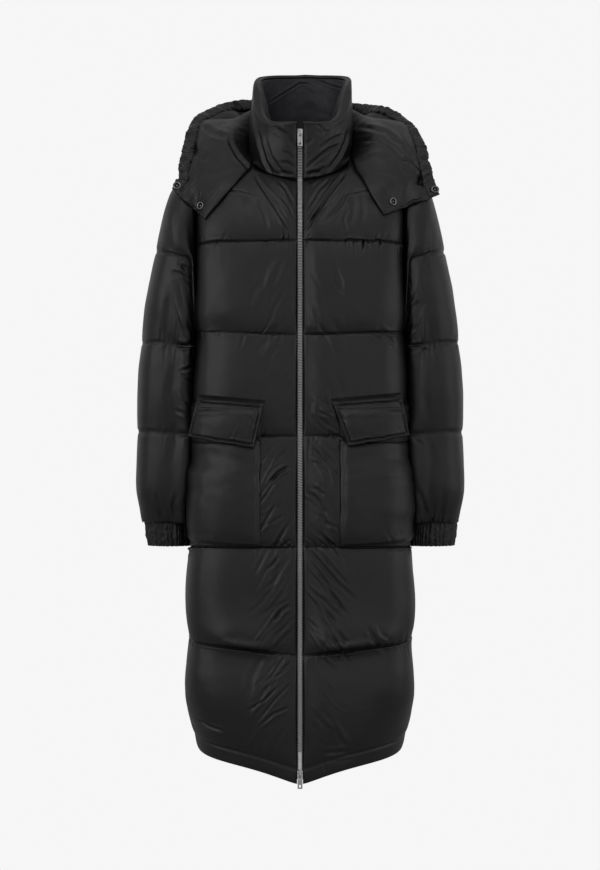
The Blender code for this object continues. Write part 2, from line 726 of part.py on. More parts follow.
def build_pull(end, axis):
    """The pull tab: a plate with a window round the crown and a slot near its free end."""
    w, t = PULL_HALF_WIDTH, PULL_THICKNESS / 2
    window = CROWN_HALF_WIDTH + PULL_CLEARANCE
    bridge = CROWN_GAP + CROWN_LEG + PULL_BRIDGE
    foot = -PULL_LENGTH
    boxes = [
        ((-w, -t, -t), (w, t, t)),
        ((-w, -t, -bridge - PULL_OVERLAP), (-window, t, t)),
        ((window, -t, -bridge - PULL_OVERLAP), (w, t, t)),
        ((-w, -t, foot + SLOT_TOP), (w, t, -bridge)),
        ((-w, -t, foot), (-SLOT_HALF_WIDTH, t, -bridge)),
        ((SLOT_HALF_WIDTH, -t, foot), (w, t, -bridge)),
        ((-w, -t, foot), (w, t, foot + SLOT_FOOT)),
    ]
    join_boxes(f"zip_pull_{end}", boxes, METAL)
    hinge = bpy.data.objects.new(f"zip_hinge_{end}", None)
    bpy.context.scene.collection.objects.link(hinge)
    hinge.location = axis * MM
    for piece in named(f"zip_pull_{end}"):
        piece.parent = hinge


# ------------------------------------------------------------------ hood


def hood_section(row):
    """Seven points from the neck edge to the face opening's edge."""
    neck, fold, drop, reach, edge = row
    neck, fold, edge = Vector(neck), Vector(fold), Vector(edge)
    if drop == 0:
        stand = [neck.lerp(fold, t) for t in (0.0, 0.5, 1.0)]
        return stand + [fold.lerp(edge, t) for t in (0.25, 0.5, 0.75, 1.0)]
    away = Vector((edge.x - fold.x, edge.y - fold.y, 0)).normalized()

    def in_pouch(base, out, down):
        return base + away * reach * out - Vector((0, 0, drop * down))

    outside = in_pouch(edge.lerp(fold, 0.25), 0.5, 0.0)
    outside.z = edge.z - drop * 0.5
    stand = [neck, neck.lerp(fold, 0.55), fold]
    return [*stand, in_pouch(fold, 0.25, 0.55), in_pouch(fold, 0.8, 1.0), outside, edge]


def smooth_line(points, count):
    """Points along a smooth curve through the given ones."""
    keys = list(range(len(points)))
    curves = [curve_through(keys, [p[i] for p in points]) for i in range(3)]
    last = len(points) - 1
    return [Vector([curve(last * i / count) for curve in curves]) for i in range(count + 1)]


def outside_tree(name):
    """A search tree of a piece's outside alone, its faces turned outwards, in millimetres."""
    inner, outer, around = SURFACES[name]
    columns = len(outer[0])
    points = [p for row in outer for p in row]
    spans = columns if around else columns - 1
    faces = []
    for r in range(len(outer) - 1):
        for c in range(spans):
            near, far = r * columns, (r + 1) * columns
            after = (c + 1) % columns
            faces.append([near + c, near + after, far + after, far + c])
    r, c = len(outer) // 2, columns // 2
    a, b, d = outer[r][c], outer[r][(c + 1) % columns], outer[r + 1][c]
    if (b - a).cross(d - a).dot(outer[r][c] - inner[r][c]) < 0:
        faces = [face[::-1] for face in faces]
    return BVHTree.FromPolygons(points, faces)


SEARCH_REACH = 35.0  # a surface further off than this is another part of the coat, not one below
LIFT_ROUNDS, LIFT_MARGIN = 6, 0.2


def lifted(point, trees, clearance):
    """The point moved out until it is this far from every piece below it."""
    for _ in range(LIFT_ROUNDS):
        worst, way = clearance, None
        for tree in trees:
            place, normal, _, distance = tree.find_nearest(point)
            depth = (point - place).dot(normal)
            signed = distance if depth >= 0 else -distance
            if distance < SEARCH_REACH and signed < worst:
                worst, way = signed, normal
        if way is None:
            return point
        point = point + way * (clearance - worst + LIFT_MARGIN)
    return point


UNDER_HOOD = ("front_left", "front_right", "back", "sleeve_left", "sleeve_right", "collar")
HOOD_ACROSS = 11
HOOD_STEPS = 3  # rows of points from one section to the next
HOOD_CENTRE_STEPS = 5  # half the rows that the centre panel takes
HOOD_CLEARANCE = 3.6
HOOD_SEAM_GAP = 1.3  # wider than other seams, because the hood bends sharply there
CASING_WIDTH, CASING_WALL = 20.0, 6.0
CASING_EDGE = 0.6  # the casing's thickness along its edges, as a share of its middle's
SEAM_SLIDE = 0.8  # how far the hood's panels draw back from their seams, in seam gaps
HOOD_WALL, HOOD_EDGE_WALL = 9.0, 3.0


def hood_sheet(trees):
    """The hood's middle surface, from the right front end round the back to the left front end."""
    sections = [hood_section(row) for row in (*HOOD_RIGHT, HOOD_BACK, *HOOD_LEFT[::-1])]
    lines = [smooth_line(section, HOOD_ACROSS) for section in sections]
    spans = len(lines) - 1
    count = spans * HOOD_STEPS
    columns = [smooth_line([line[k] for line in lines], count) for k in range(HOOD_ACROSS + 1)]
    sheet = [[column[i] for column in columns] for i in range(count + 1)]
    return [[lifted(p, trees, HOOD_WALL / 2 + HOOD_CLEARANCE) for p in row] for row in sheet]


def sheet_normal(sheet, i, k):
    a = sheet[min(i + 1, len(sheet) - 1)][k] - sheet[max(i - 1, 0)][k]
    b = sheet[i][min(k + 1, len(sheet[0]) - 1)] - sheet[i][max(k - 1, 0)]
    return a.cross(b).normalized()


def along_line(line, distances):
    """The points at these distances along a line of points."""
    found = []
    for distance in distances:
        left = distance
        for a, b in zip(line, line[1:]):
            step = (b - a).length
            if left <= step or b is line[-1]:
                found.append(a.lerp(b, left / step))
                break
            left -= step
    return found


def length_of(line):
    return sum((b - a).length for a, b in zip(line, line[1:]))


def parted(line):
    """The hood's own points on a line of the sheet, and the casing's, with a seam's gap between them."""
    whole = length_of(line)
    own = whole - CASING_WIDTH
    step = (own - HOOD_SEAM_GAP) / HOOD_ACROSS
    panel = along_line(line, [step * k for k in range(HOOD_ACROSS + 1)])
    return panel, along_line(line, [own, own + CASING_WIDTH / 2, whole])


def build_casing(bands):
    """The gathered band round the face opening, sewn past the hood's own edge."""
    inner, outer = [], []
    for i, band in enumerate(bands):
        for grid, way in ((inner, -1), (outer, 1)):
            grid.append([])
            for k, point in enumerate(band):
                half = CASING_WALL / 2 * (CASING_EDGE if k != 1 else 1.0)
                grid[-1].append(point + sheet_normal(bands, i, k) * half * way)
    wall("hood_casing", inner, outer, NYLON)


def build_snap(name, centre, normal):
    """A snap's cap: a disc with a dimple, on the hood's front end."""
    built = bmesh.new()
    bmesh.ops.create_cone(
        built,
        cap_ends=True,
        segments=SNAP_SIDES,
        radius1=SNAP_RADIUS * MM,
        radius2=SNAP_RADIUS * SNAP_TAPER * MM,
        depth=SNAP_HEIGHT * MM,
    )
    top = max(built.faces, key=lambda f: f.calc_center_median().z)
    bmesh.ops.inset_individual(built, faces=[top], thickness=SNAP_RADIUS * SNAP_RIM * MM)
    bmesh.ops.translate(built, verts=top.verts, vec=(0, 0, -SNAP_HEIGHT * SNAP_DIMPLE * MM))
    mesh = bpy.data.meshes.new(name)
    built.to_mesh(mesh)
    built.free()
    mesh.materials.append(material(name, *METAL))
    made = bpy.data.objects.new(name, mesh)
    bpy.context.scene.collection.objects.link(made)
    made.location = (centre + normal * SNAP_HEIGHT / 2) * MM
    made.rotation_euler = normal.to_track_quat("Z", "Y").to_euler()


def build_snaps(sheet, bands):
    """Two snaps on each front end: one by its neck corner, one on the casing."""
    on_hood = HOOD_EDGE_WALL / 2 + SNAP_LIFT_INNER
    on_casing = CASING_WALL / 2 + SNAP_LIFT_OUTER
    for side, row in (("right", 1), ("left", len(sheet) - 2)):
        beside_neck = sheet[row][1].lerp(sheet[row][2], 0.5)
        for place, point, normal, lift in (
            ("inner", beside_neck, sheet_normal(sheet, row, 2), on_hood),
            ("outer", bands[row][1], sheet_normal(bands, row, 1), on_casing),
        ):
            if normal.y > 0:
                normal.negate()
            build_snap(f"snap_{side}_{place}", point + normal * lift, normal)


def build_hood_panel(name, sheet, first, end):
    """A padded panel of the hood between two of the sheet's rows, drawn back from its seams."""
    last = len(sheet) - 1
    inner, outer = [], []
    for i in range(first, end + 1):
        inner.append([])
        outer.append([])
        starts, ends = i == first and first > 0, i == end and end < last
        slide = HOOD_SEAM_GAP * SEAM_SLIDE * (starts - ends)
        for k in range(HOOD_ACROSS + 1):
            rise = dipped((i - first) / (end - first)) * dipped(k / HOOD_ACROSS)
            half = (HOOD_EDGE_WALL + (HOOD_WALL - HOOD_EDGE_WALL) * rise) / 2
            normal = sheet_normal(sheet, i, k)
            along = (sheet[min(i + 1, last)][k] - sheet[max(i - 1, 0)][k]).normalized()
            point = sheet[i][k] + along * slide
            inner[-1].append(point - normal * half)
            outer[-1].append(point + normal * half)
    wall(name, inner, outer, NYLON)


def build_hood():
    trees = [outside_tree(name) for name in UNDER_HOOD]
    sheet, bands = zip(*(parted(line) for line in hood_sheet(trees)))
    last = len(sheet) - 1
    seams = (last // 2 - HOOD_CENTRE_STEPS, last // 2 + HOOD_CENTRE_STEPS)
    build_hood_panel("hood_right", sheet, 0, seams[0])
    build_hood_panel("hood_centre", sheet, *seams)
    build_hood_panel("hood_left", sheet, seams[1], last)
    build_casing(bands)
    build_snaps(sheet, bands)


def main():
    clear_scene()
    grids = build_body()
    build_pockets(grids)
    for side, sign in SIDES:
        build_sleeve(side, sign)
        build_cuff(side, sign)
    build_collar()
    build_zip()
    build_slider("top", CHAIN_HEAD - SLIDER_INSET, 1)
    build_slider("bottom", CHAIN_FOOT + SLIDER_INSET, -1)
    build_hood()


main()
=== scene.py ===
"""A long puffer coat, filled out with no wearer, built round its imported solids.

Each padded panel is a grid of points on the panel's own form. Its cloth is cut larger than its
seams, held along them and blown out by a short cloth simulation, which gathers it as sewn padding
does. Sizes are in millimetres. Rows run up the coat or down a sleeve, and columns run across.
"""
import json
import math
from contextlib import contextmanager

import bmesh
import bpy
import numpy as np
from bpy.props import FloatProperty, FloatVectorProperty, PointerProperty
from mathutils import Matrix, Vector
from mathutils.bvhtree import BVHTree

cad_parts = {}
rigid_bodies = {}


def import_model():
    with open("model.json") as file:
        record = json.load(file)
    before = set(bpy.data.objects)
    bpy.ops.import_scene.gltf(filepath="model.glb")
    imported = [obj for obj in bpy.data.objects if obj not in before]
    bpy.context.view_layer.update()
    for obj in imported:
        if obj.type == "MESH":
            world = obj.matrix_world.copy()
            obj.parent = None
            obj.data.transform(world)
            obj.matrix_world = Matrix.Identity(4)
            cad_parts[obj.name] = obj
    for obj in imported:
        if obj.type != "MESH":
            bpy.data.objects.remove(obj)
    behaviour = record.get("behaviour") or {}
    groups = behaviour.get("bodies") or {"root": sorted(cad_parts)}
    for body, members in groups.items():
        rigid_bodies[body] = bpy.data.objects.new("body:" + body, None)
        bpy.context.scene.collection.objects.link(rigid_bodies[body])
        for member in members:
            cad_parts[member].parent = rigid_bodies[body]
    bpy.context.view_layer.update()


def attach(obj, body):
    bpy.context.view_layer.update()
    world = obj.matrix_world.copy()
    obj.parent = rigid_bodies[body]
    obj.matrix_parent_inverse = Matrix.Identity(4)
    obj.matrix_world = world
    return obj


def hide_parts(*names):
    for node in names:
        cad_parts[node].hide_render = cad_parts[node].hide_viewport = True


bl_info = {
    "name": "Long Puffer Coat",
    "version": (1, 0, 0),
    "blender": (4, 5, 0),
    "location": "View3D > Sidebar > Coat",
    "description": "Builds a long puffer coat with a hood, patch pockets and a two-way zip",
    "category": "Add Mesh",
}

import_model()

MM = 0.001
SIDES = (("left", 1.0), ("right", -1.0))  # as worn, and the sign of x there

# ------------------------------------------------------------------ the coat's form

SEAM_WALL, HEM_WALL = 3.0, 4.0
NECK_SQUARENESS, BODY_SQUARENESS, SIDE_SQUARENESS = 2.3, 3.7, 6.5
SQUARER = ((-940.0, -820.0), (-130.0, -70.0))  # where the body's section turns squarer, and back
SLEEVE_OUTER_SQUARENESS, SLEEVE_INNER_SQUARENESS = 2.8, 9.0
ZIP_EDGE = 4.7
NECK_WIDTH, NECK_DEPTH, NECK_SLOPE, NECK_LIFT = 77.0, 77.0, 0.66, 6.0
RIM_WIDTH, RIM_FRONT, RIM_BACK, RIM_SLOPE, RIM_LIFT = 73.5, 83.0, 74.0, 0.63, 101.0
CORNER_RISE, CORNER_TOP, CORNER_OVER, HEM_CORNER = 26.0, -880.0, 90, 0.07
HEM_STRAIGHTNESS, STRAIGHT_ABOVE, STRAIGHT_OVER = 0.95, -690.0, 220.0
ARMHOLE_MID_Z, ARMHOLE_HALF_HEIGHT, ARMHOLE_HALF_DEPTH = -164.0, 126.0, 96.0
SIDE_LAP = 0.4  # how far the fronts and the back run past one another at the sides
CHAIN_FOOT, CHAIN_HEAD = -1030.0, 36.0

# Heights at the zip, the centre back and the side, how far out the side lies, front and back
# depths, and whether a quilting line runs there.
BODY_COLUMNS = ("zip_z", "back_z", "side_z", "side_x", "front", "back", "quilted")
BODY_LEVELS = (
    (-1037, -1020, -985, 171, 157, 140, False),
    (-1012, -996, -960, 174, 159, 143, True),
    (-918, -895, -876, 178, 162, 148, False),
    (-826, -800, -778, 178, 160, 148, True),
    (-648, -640, -649, 175, 158, 145, True),
    (-632, -618, -614, 170, 158, 144, False),
    (-562, -560, -562, 167, 157, 140, False),
    (-491, -485, -479, 165, 155, 137, False),
    (-466, -462, -466, 165, 154, 136, True),
    (-413, -402, -402, 165, 152, 134, False),
    (-299, -292, -290, 166, 147, 130, True),
    (-246, -238, -240, 167, 142, 127, False),
    (-146, -140, -151, 168, 132, 122, True),
    (-114, -90, -98, 168, 120, 115, False),
    (-94, -48, -60, 168, 110, 106, False),
    (-83, -16, -38, 167, 104, 99, False),
    (-66, 20, -17, 128, 93, 90, False),
    (-44.8, 56.8, 6, 77, 77, 77, True),
)
QUILTS = [row[2] for row in BODY_LEVELS if row[6]]
# The sleeve's rings: outer end x and z, inner end x and z, half depth, and y.
SLEEVE_COLUMNS = ("out_x", "out_z", "in_x", "in_z", "half_depth", "y")
SLEEVE_RINGS = (
    (171, -36, 171, -291, 96, 0),
    (187, -39, 175, -298, 97, -2),
    (203, -54, 176, -304, 97, -4),
    (215, -84, 176, -310, 96, -5),
    (225, -120, 175, -318, 95, -6),
    (235, -160, 174, -328, 93, -7),
    (244, -215, 173, -342, 91, -9),
    (252, -266, 172, -358, 89, -10),
    (259, -312, 171, -378, 87, -11),
    (262, -355, 171, -402, 85, -12),
    (263, -400, 171, -430, 83, -13),
    (266, -450, 171, -464, 81, -14),
    (266, -505, 172, -508, 79, -15),
    (267, -550, 175, -550, 75, -16),
    (262, -588, 181, -588, 65, -18),
    (260, -611, 185, -611, 50, -21),
)
SLEEVE_LINES = ((-157, -190), (-310, -322), (-459, -467))  # quilting lines: outer and inner heights


def through(keys, values):
    """A smooth curve through a table that never overshoots it, for numbers or arrays."""
    keys, values = np.array(keys, float), np.array(values, float)
    steps = np.diff(values) / np.diff(keys)
    same = steps[:-1] * steps[1:] > 0
    total = np.where(same, steps[:-1] + steps[1:], 1.0)
    inner = np.where(same, 2 * steps[:-1] * steps[1:] / total, 0.0)
    slopes = np.concatenate([steps[:1], inner, steps[-1:]])

    def at(key):
        key = np.asarray(key, float)
        i = np.clip(np.searchsorted(keys, key, side="right") - 1, 0, len(keys) - 2)
        width = keys[i + 1] - keys[i]
        t = (key - keys[i]) / width
        ends = (2 * t**3 - 3 * t**2 + 1) * values[i] + (3 * t**2 - 2 * t**3) * values[i + 1]
        pulls = (t**3 - 2 * t**2 + t) * slopes[i] + (t**3 - t**2) * slopes[i + 1]
        return ends + width * pulls

    return at


BODY = {
    name: through([row[2] for row in BODY_LEVELS], [row[i] for row in BODY_LEVELS])
    for i, name in enumerate(BODY_COLUMNS[:6])
}
SLEEVE = {
    name: through(range(len(SLEEVE_RINGS)), [row[i] for row in SLEEVE_RINGS])
    for i, name in enumerate(SLEEVE_COLUMNS)
}


def rounded(t, width, depth, squareness=NECK_SQUARENESS):
    """A point of a rounded section, at the polar angle t from the depth axis."""
    s, c = np.abs(np.sin(t)), np.abs(np.cos(t))
    radius = ((s / width) ** squareness + (c / depth) ** squareness) ** (-1 / squareness)
    return radius * np.sin(t), radius * np.cos(t)


def body_form(level, across, back):
    """Points of the body's inner surface: across is 0 in the middle and 1 at the side."""
    depth = BODY["back" if back else "front"](level)
    side_x = BODY["side_x"](level)
    rise = (level - ARMHOLE_MID_Z) / ARMHOLE_HALF_HEIGHT
    side_y = ARMHOLE_HALF_DEPTH * np.sqrt(np.maximum(1 - rise * rise, 0.0))
    (low_from, low_to), (high_from, high_to) = SQUARER
    squarer = np.interp(level, (low_from, low_to, high_from, high_to), (0, 1, 1, 0))
    more = SIDE_SQUARENESS - BODY_SQUARENESS
    power = BODY_SQUARENESS + more * squarer * squarer * (3 - 2 * squarer)
    width = side_x / (1 - (side_y / depth) ** power) ** (1 / power)
    end = np.arctan2(side_x, side_y - SIDE_LAP)
    first = 0.0 if back else np.arcsin(ZIP_EDGE / depth)
    t = first + (end - first) * np.abs(across)
    x, y = rounded(t, width, depth, power)
    middle_z = BODY["back_z" if back else "zip_z"](level)
    straight = HEM_STRAIGHTNESS * np.clip((STRAIGHT_ABOVE - level) / STRAIGHT_OVER, 0.0, 1.0)
    low = np.clip((CORNER_TOP - level) / CORNER_OVER, 0, 1)
    share = np.maximum(1 - (np.hypot(t, HEM_CORNER * low) - HEM_CORNER * low) / end, 0)
    fall = np.cos(np.pi / 2 * t / end) * (1 - straight) + share ** (1 + 1.3 * low) * straight
    z = level + (middle_z - level) * fall
    z = z + CORNER_RISE * np.abs(across) ** 5 * low
    return np.stack([np.where(across >= 0, x, -x), y if back else -y, z], -1)


def sleeve_form(at, turn):
    """Points of the sleeve's inner surface: at counts rings, turn is 0 at a ring's outer end."""
    ends = {name: SLEEVE[name](at) for name in SLEEVE_COLUMNS}
    c, s = np.cos(turn), np.sin(turn)
    power = np.where(c > 0, SLEEVE_OUTER_SQUARENESS, SLEEVE_INNER_SQUARENESS)
    radius = (np.abs(c) ** power + np.abs(s) ** power) ** (-1 / power)
    c, s = c * radius, s * radius
    x = (ends["out_x"] + ends["in_x"]) / 2 + (ends["out_x"] - ends["in_x"]) / 2 * c
    z = (ends["out_z"] + ends["in_z"]) / 2 + (ends["out_z"] - ends["in_z"]) / 2 * c
    return np.stack([x, ends["y"] + ends["half_depth"] * s, z], -1)


def collar_form(turn, height):
    """Points of the collar's inner surface: turn is 0 at the zip, height 0 at the seam."""
    x0, y0 = rounded(turn, NECK_WIDTH, NECK_DEPTH)
    x1, y1 = rounded(turn, RIM_WIDTH, np.where(np.cos(turn) > 0, RIM_FRONT, RIM_BACK))
    low = np.stack([x0, -y0, NECK_LIFT - NECK_SLOPE * y0], -1)
    high = np.stack([x1, -y1, RIM_LIFT - RIM_SLOPE * y1], -1)
    return low + (high - low) * np.asarray(height)[..., None]


# ------------------------------------------------------------------ grids of points


def unit(vectors):
    return vectors / np.maximum(np.linalg.norm(vectors, axis=-1, keepdims=True), 1e-9)


def along(grid, axis, around=False):
    """The grid's tangent along an axis. A grid that runs around closes on its columns."""
    if around and axis == 1:
        return (np.roll(grid, -1, 1) - np.roll(grid, 1, 1)) / 2
    return np.gradient(grid, axis=axis)


def normals_of(grid, around=False, centre=None):
    """Unit normals that face away from a centre: a point, or a line of points with one a row."""
    found = np.cross(along(grid, 1, around), along(grid, 0))
    if centre is None:
        centre = grid.mean((0, 1)) * (0, 0, 1)
    middle = grid - np.asarray(centre, float)
    if (found * middle).sum() < 0:
        found = -found
    return unit(found)


def blurred(values, times, around=False):
    """Values smoothed over the grid, with its edges kept."""
    rest = ((0, 0),) * (values.ndim - 2)
    for _ in range(times):
        padded = np.pad(values, ((1, 1), (0, 0), *rest), mode="edge")
        values = (padded[:-2] + 2 * padded[1:-1] + padded[2:]) / 4
        padded = np.pad(values, ((0, 0), (1, 1), *rest), mode="wrap" if around else "edge")
        values = (padded[:, :-2] + 2 * padded[:, 1:-1] + padded[:, 2:]) / 4
    return values


def uneven(shape, seed, size=3, around=False):
    """Smooth noise of about unit height, whose bumps are some size cells wide."""
    noise = blurred(np.random.default_rng(seed).normal(0, 1, shape), size, around)
    return noise / max(noise.std(), 1e-9)


def finer(grid, around=False):
    """The grid with a new row and column between each two, on smooth curves."""
    for axis, closed in ((0, False), (1, around)):
        g = np.moveaxis(grid, axis, 0)
        if closed:
            ends = np.concatenate([g[-1:], g, g[:2]])
        else:
            ends = np.concatenate([2 * g[:1] - g[1:2], g, 2 * g[-1:] - g[-2:-1]])
        between = (-ends[:-3] + 9 * ends[1:-2] + 9 * ends[2:-1] - ends[3:]) / 16
        made = np.empty((len(g) + len(between), *g.shape[1:]))
        made[::2] = g
        made[1::2] = between
        grid = np.moveaxis(made, 0, axis)
    return grid


def spread(keys, cell):
    """Values from the first key to the last, with every key among them, about a cell apart."""
    parts = [
        np.linspace(a, b, max(1, round(abs(b - a) / cell)), endpoint=False)
        for a, b in zip(keys, keys[1:])
    ]
    return np.concatenate([*parts, keys[-1:]])


def travelled(points, axis=0):
    """How far along an axis each point of a line lies, or each row of a grid on average."""
    steps = np.linalg.norm(np.diff(points, axis=axis), axis=-1)
    if steps.ndim > 1:
        steps = steps.mean(1 - axis)
    return np.concatenate([[0], np.cumsum(steps)])


def shares(grid):
    """How far up its rows and across its columns each point of a grid lies, from 0 to 1."""
    rows, columns = grid.shape[:2]
    return np.meshgrid(np.linspace(0, 1, rows), np.linspace(0, 1, columns), indexing="ij")


def numbered(grid, around=False, start=0):
    """The numbers of a grid's points, with the first column again at the end if it runs around."""
    rows, columns = grid.shape[:2]
    index = start + np.arange(rows * columns).reshape(rows, columns)
    return np.concatenate([index, index[:, :1]], axis=1) if around else index


def cells(values):
    """The values at the four corners of each cell of a grid."""
    return np.stack([values[:-1, :-1], values[:-1, 1:], values[1:, 1:], values[1:, :-1]], 2)


def faces_of(grid, normals, around=False, start=0):
    """The grid's faces as lists of point numbers, turned the way of its normals."""
    quads = cells(numbered(grid, around, start))
    if (np.cross(along(grid, 1, around), along(grid, 0)) * normals).sum() < 0:
        quads = quads[:, :, ::-1]
    return quads.reshape(-1, 4).tolist()


def tree_of(grid, normals, around=False):
    """A search tree of a grid's faces, turned the way of its normals."""
    return BVHTree.FromPolygons(grid.reshape(-1, 3).tolist(), faces_of(grid, normals, around))


# ------------------------------------------------------------------ meshes


def link(name, data, *materials):
    """A new object of some data, in the scene."""
    made = bpy.data.objects.new(name, data)
    bpy.context.scene.collection.objects.link(made)
    for finish in materials:
        data.materials.append(finish)
    return made


@contextmanager
def edited(mesh, *sources):
    """The sources' faces to edit together. They are written to the mesh at the end."""
    built = bmesh.new()
    for source in sources:
        built.from_mesh(source)
    yield built
    built.to_mesh(mesh)
    built.free()


def mesh_from(name, points, faces, uvs=None, smooth=True):
    mesh = bpy.data.meshes.new(name)
    mesh.from_pydata((np.asarray(points) * MM).tolist(), [], faces)
    if uvs is not None:
        layer = mesh.uv_layers.new(name="cloth")
        layer.data.foreach_set("uv", np.asarray(uvs, np.float32).ravel())
    if smooth:
        mesh.shade_smooth()
    return mesh


def shell(name, outside, inside, finish, around=False, step=2, lining=None):
    """A closed wall from a fine outside grid and an inside one that is step times coarser.

    Its UV map lays the cloth flat, in metres.
    """
    fine_u, fine_v = travelled(outside, 1), travelled(outside)
    if around:
        closing = np.linalg.norm(outside[:, 0] - outside[:, -1], axis=1).mean()
        fine_u = np.append(fine_u, fine_u[-1] + closing)

    def corners(grid, start, every):
        u, v = np.meshgrid(fine_u[::every], fine_v[::every])
        return np.stack([numbered(grid, around, start), u * MM, v * MM], -1)

    out = corners(outside, 0, 1)
    inn = corners(inside, outside.shape[0] * outside.shape[1], step)

    def quads(c, turned):
        made = cells(c).reshape(-1, 4, 3)
        return made[:, ::-1] if turned else made

    def border(fine, coarse, turned):
        fans = [
            np.concatenate([fine[i * step : (i + 1) * step + 1], coarse[i : i + 2][::-1]])
            for i in range(len(coarse) - 1)
        ]
        return [fan[::-1] if turned else fan for fan in fans]

    faces = [*quads(out, False), *quads(inn, True)]
    faces += border(out[0], inn[0], True)
    faces += border(out[-1], inn[-1], False)
    if not around:
        faces += border(out[:, 0], inn[:, 0], False)
        faces += border(out[:, -1], inn[:, -1], True)
    r, c = outside.shape[0] // 2, outside.shape[1] // 2
    face_way = np.cross(outside[r, c + 1] - outside[r, c], outside[r + 1, c] - outside[r, c])
    if face_way @ (outside[r, c] - inside[r // step, c // step]) < 0:
        faces = [face[::-1] for face in faces]
    points = np.concatenate([outside.reshape(-1, 3), inside.reshape(-1, 3)])
    lists = [face[:, 0].astype(int).tolist() for face in faces]
    uvs = np.concatenate([face[:, 1:] for face in faces])
    mesh = mesh_from(name, points, lists, uvs)
    made = link(name, mesh, finish, *([lining] if lining else []))
    if lining:
        first = (out.shape[0] - 1) * (out.shape[1] - 1)
        count = (inn.shape[0] - 1) * (inn.shape[1] - 1)
        which = np.zeros(len(faces), np.int32)
        which[first : first + count] = 1
        mesh.polygons.foreach_set("material_index", which)
    return made


RUFFLE, ROW_WAVE = 0.5, 1.3  # how uneven a panel starts out, and how far its rows are drawn about


class Panel:
    """A padded panel: its inner grid, outward normals, outside grid and held points.

    most says how far each point may be blown out.
    """

    def __init__(
        self, name, inside, thick, held, growth, around=False, centre=None, seed=1, lift=9.0
    ):
        self.name, self.inside, self.held = name, inside, held
        self.around, self.seed = around, seed
        self.normals = normals_of(inside, around, centre)
        ruffle = uneven(held.shape, seed, 2, around) * RUFFLE * ~held
        self.outside = inside + self.normals * (thick + ruffle)[..., None]
        self.first = self.outside.copy()
        self.cut = (inside + self.normals * lift) * growth

    def crease(self, lines, share=1.0):
        self.outside = creased(self.outside, self.normals, lines, share * ~self.held)

    def finish(self, lines=(), share=1.0, rows=(), gather=0.0):
        """Makes the fine outside grid, with its folds and the small gathers along its sewn rows."""
        fine = finer(self.outside, self.around)
        normals = unit(finer(self.normals, self.around))
        if gather:
            fine = wavered(fine, [2 * r for r in rows if r], self.seed + 70, ROW_WAVE)
        free = finer((~self.held).astype(float)[..., None], self.around)[..., 0]
        free = np.clip(free, 0, 1)
        if gather:
            push = gathers(fine, [2 * r for r in rows], self.seed + 50, self.around) * gather
            fine = fine + normals * (push * free)[..., None]
        self.fine = creased(fine, normals, lines, share * free)
        self.fine_normals = normals


def uneven_ring(count, seed, size):
    """Smooth noise round a ring of points."""
    return uneven((1, count), seed, size, True)[0]


def gathers(grid, rows, seed, around=False, reach=15.0, apart=6.5):
    """Small sharp puckers square to some rows. Each fades away from its row."""
    made = np.zeros(grid.shape[:2])
    rng = np.random.default_rng(seed)
    count = grid.shape[1]
    down = travelled(grid)
    step = np.linalg.norm(np.diff(grid, axis=1), axis=2).mean()
    for row in rows:
        crowd = 0.75 + 0.55 * uneven_ring(count, int(rng.integers(1 << 30)), 200)
        crowd = np.clip(crowd, 0.1, 1.7)
        for way in (-1, 1):
            number = int(count * step / apart)
            place = np.sort(rng.uniform(0, count, number))
            deep = rng.uniform(0.25, 1.0, number) ** 1.5 * crowd[place.astype(int)]
            long = reach * rng.uniform(0.25, 1.0, number) ** 1.4 * (0.5 + 0.8 * deep)
            wide = rng.uniform(1.5, 2.9, number) / step
            slant = rng.normal(0, 0.3, number)
            away = (down - down[row]) * way
            near = np.flatnonzero((away > 0) & (away < 3 * reach))
            far = away[near][:, None, None]
            x = np.arange(count)[None, :, None] - place - slant * far / step
            if around:
                x = (x + count / 2) % count - count / 2
            t = far / long
            ridges = 0.5 * np.exp(-(((np.abs(x) - 2.1 * wide) / wide) ** 2))
            fold = ridges - np.exp(-((x / wide) ** 2))
            made[near] += (fold * deep * np.minimum(t * 8, 1) * np.exp(-(t**1.5))).sum(-1)
    return made


def wavered(grid, rows, seed, most):
    """The grid with its sewn rows drawn slightly up and down by their gathers."""
    tangents = unit(along(grid, 0))
    rng = np.random.default_rng(seed)
    down = travelled(grid)
    moved = grid.copy()
    for row in rows:
        wave = 0.7 * uneven_ring(grid.shape[1], int(rng.integers(1 << 30)), 10)
        wave += 0.9 * uneven_ring(grid.shape[1], int(rng.integers(1 << 30)), 200)
        near = np.exp(-(((down - down[row]) / 14) ** 2))[:, None]
        moved += tangents * (near * wave * most)[..., None]
    return moved


def creased(grid, normals, lines, share):
    """Presses soft folds in along lines drawn on the coat's front, or with "back" on its back."""
    push = np.zeros(grid.shape[:2])
    for points, depth, width, *where in lines:
        facing = normals[..., 1] if "back" in where else -normals[..., 1]
        push += fold_at(grid, points, width) * depth * np.clip(facing * 4 + 0.6, 0, 1)
    return grid - normals * (push * share)[..., None]


def fold_at(grid, points, width):
    """A trough along a line drawn on the coat's front or back, with a low ridge on both sides."""
    flat = grid[..., [0, 2]]
    line = np.array(points, float)
    best = np.full(flat.shape[:2], 1e9)
    share = np.zeros(flat.shape[:2])
    lengths = np.linalg.norm(np.diff(line, axis=0), axis=1)
    starts = np.concatenate([[0], np.cumsum(lengths)])
    for a, b, start, length in zip(line, line[1:], starts, lengths):
        t = np.clip(((flat - a) @ (b - a)) / length**2, 0, 1)
        away = np.linalg.norm(flat - a - t[..., None] * (b - a), axis=-1)
        nearer = away < best
        best = np.where(nearer, away, best)
        share = np.where(nearer, (start + t * length) / starts[-1], share)
    q = best / width
    taper = np.clip(np.sin(np.pi * np.clip(share, 0.02, 0.98)) * 1.6, 0, 1)
    return (np.exp(-(q**1.6)) - 0.5 * np.exp(-(((q - 1.7) * 1.1) ** 2))) * taper


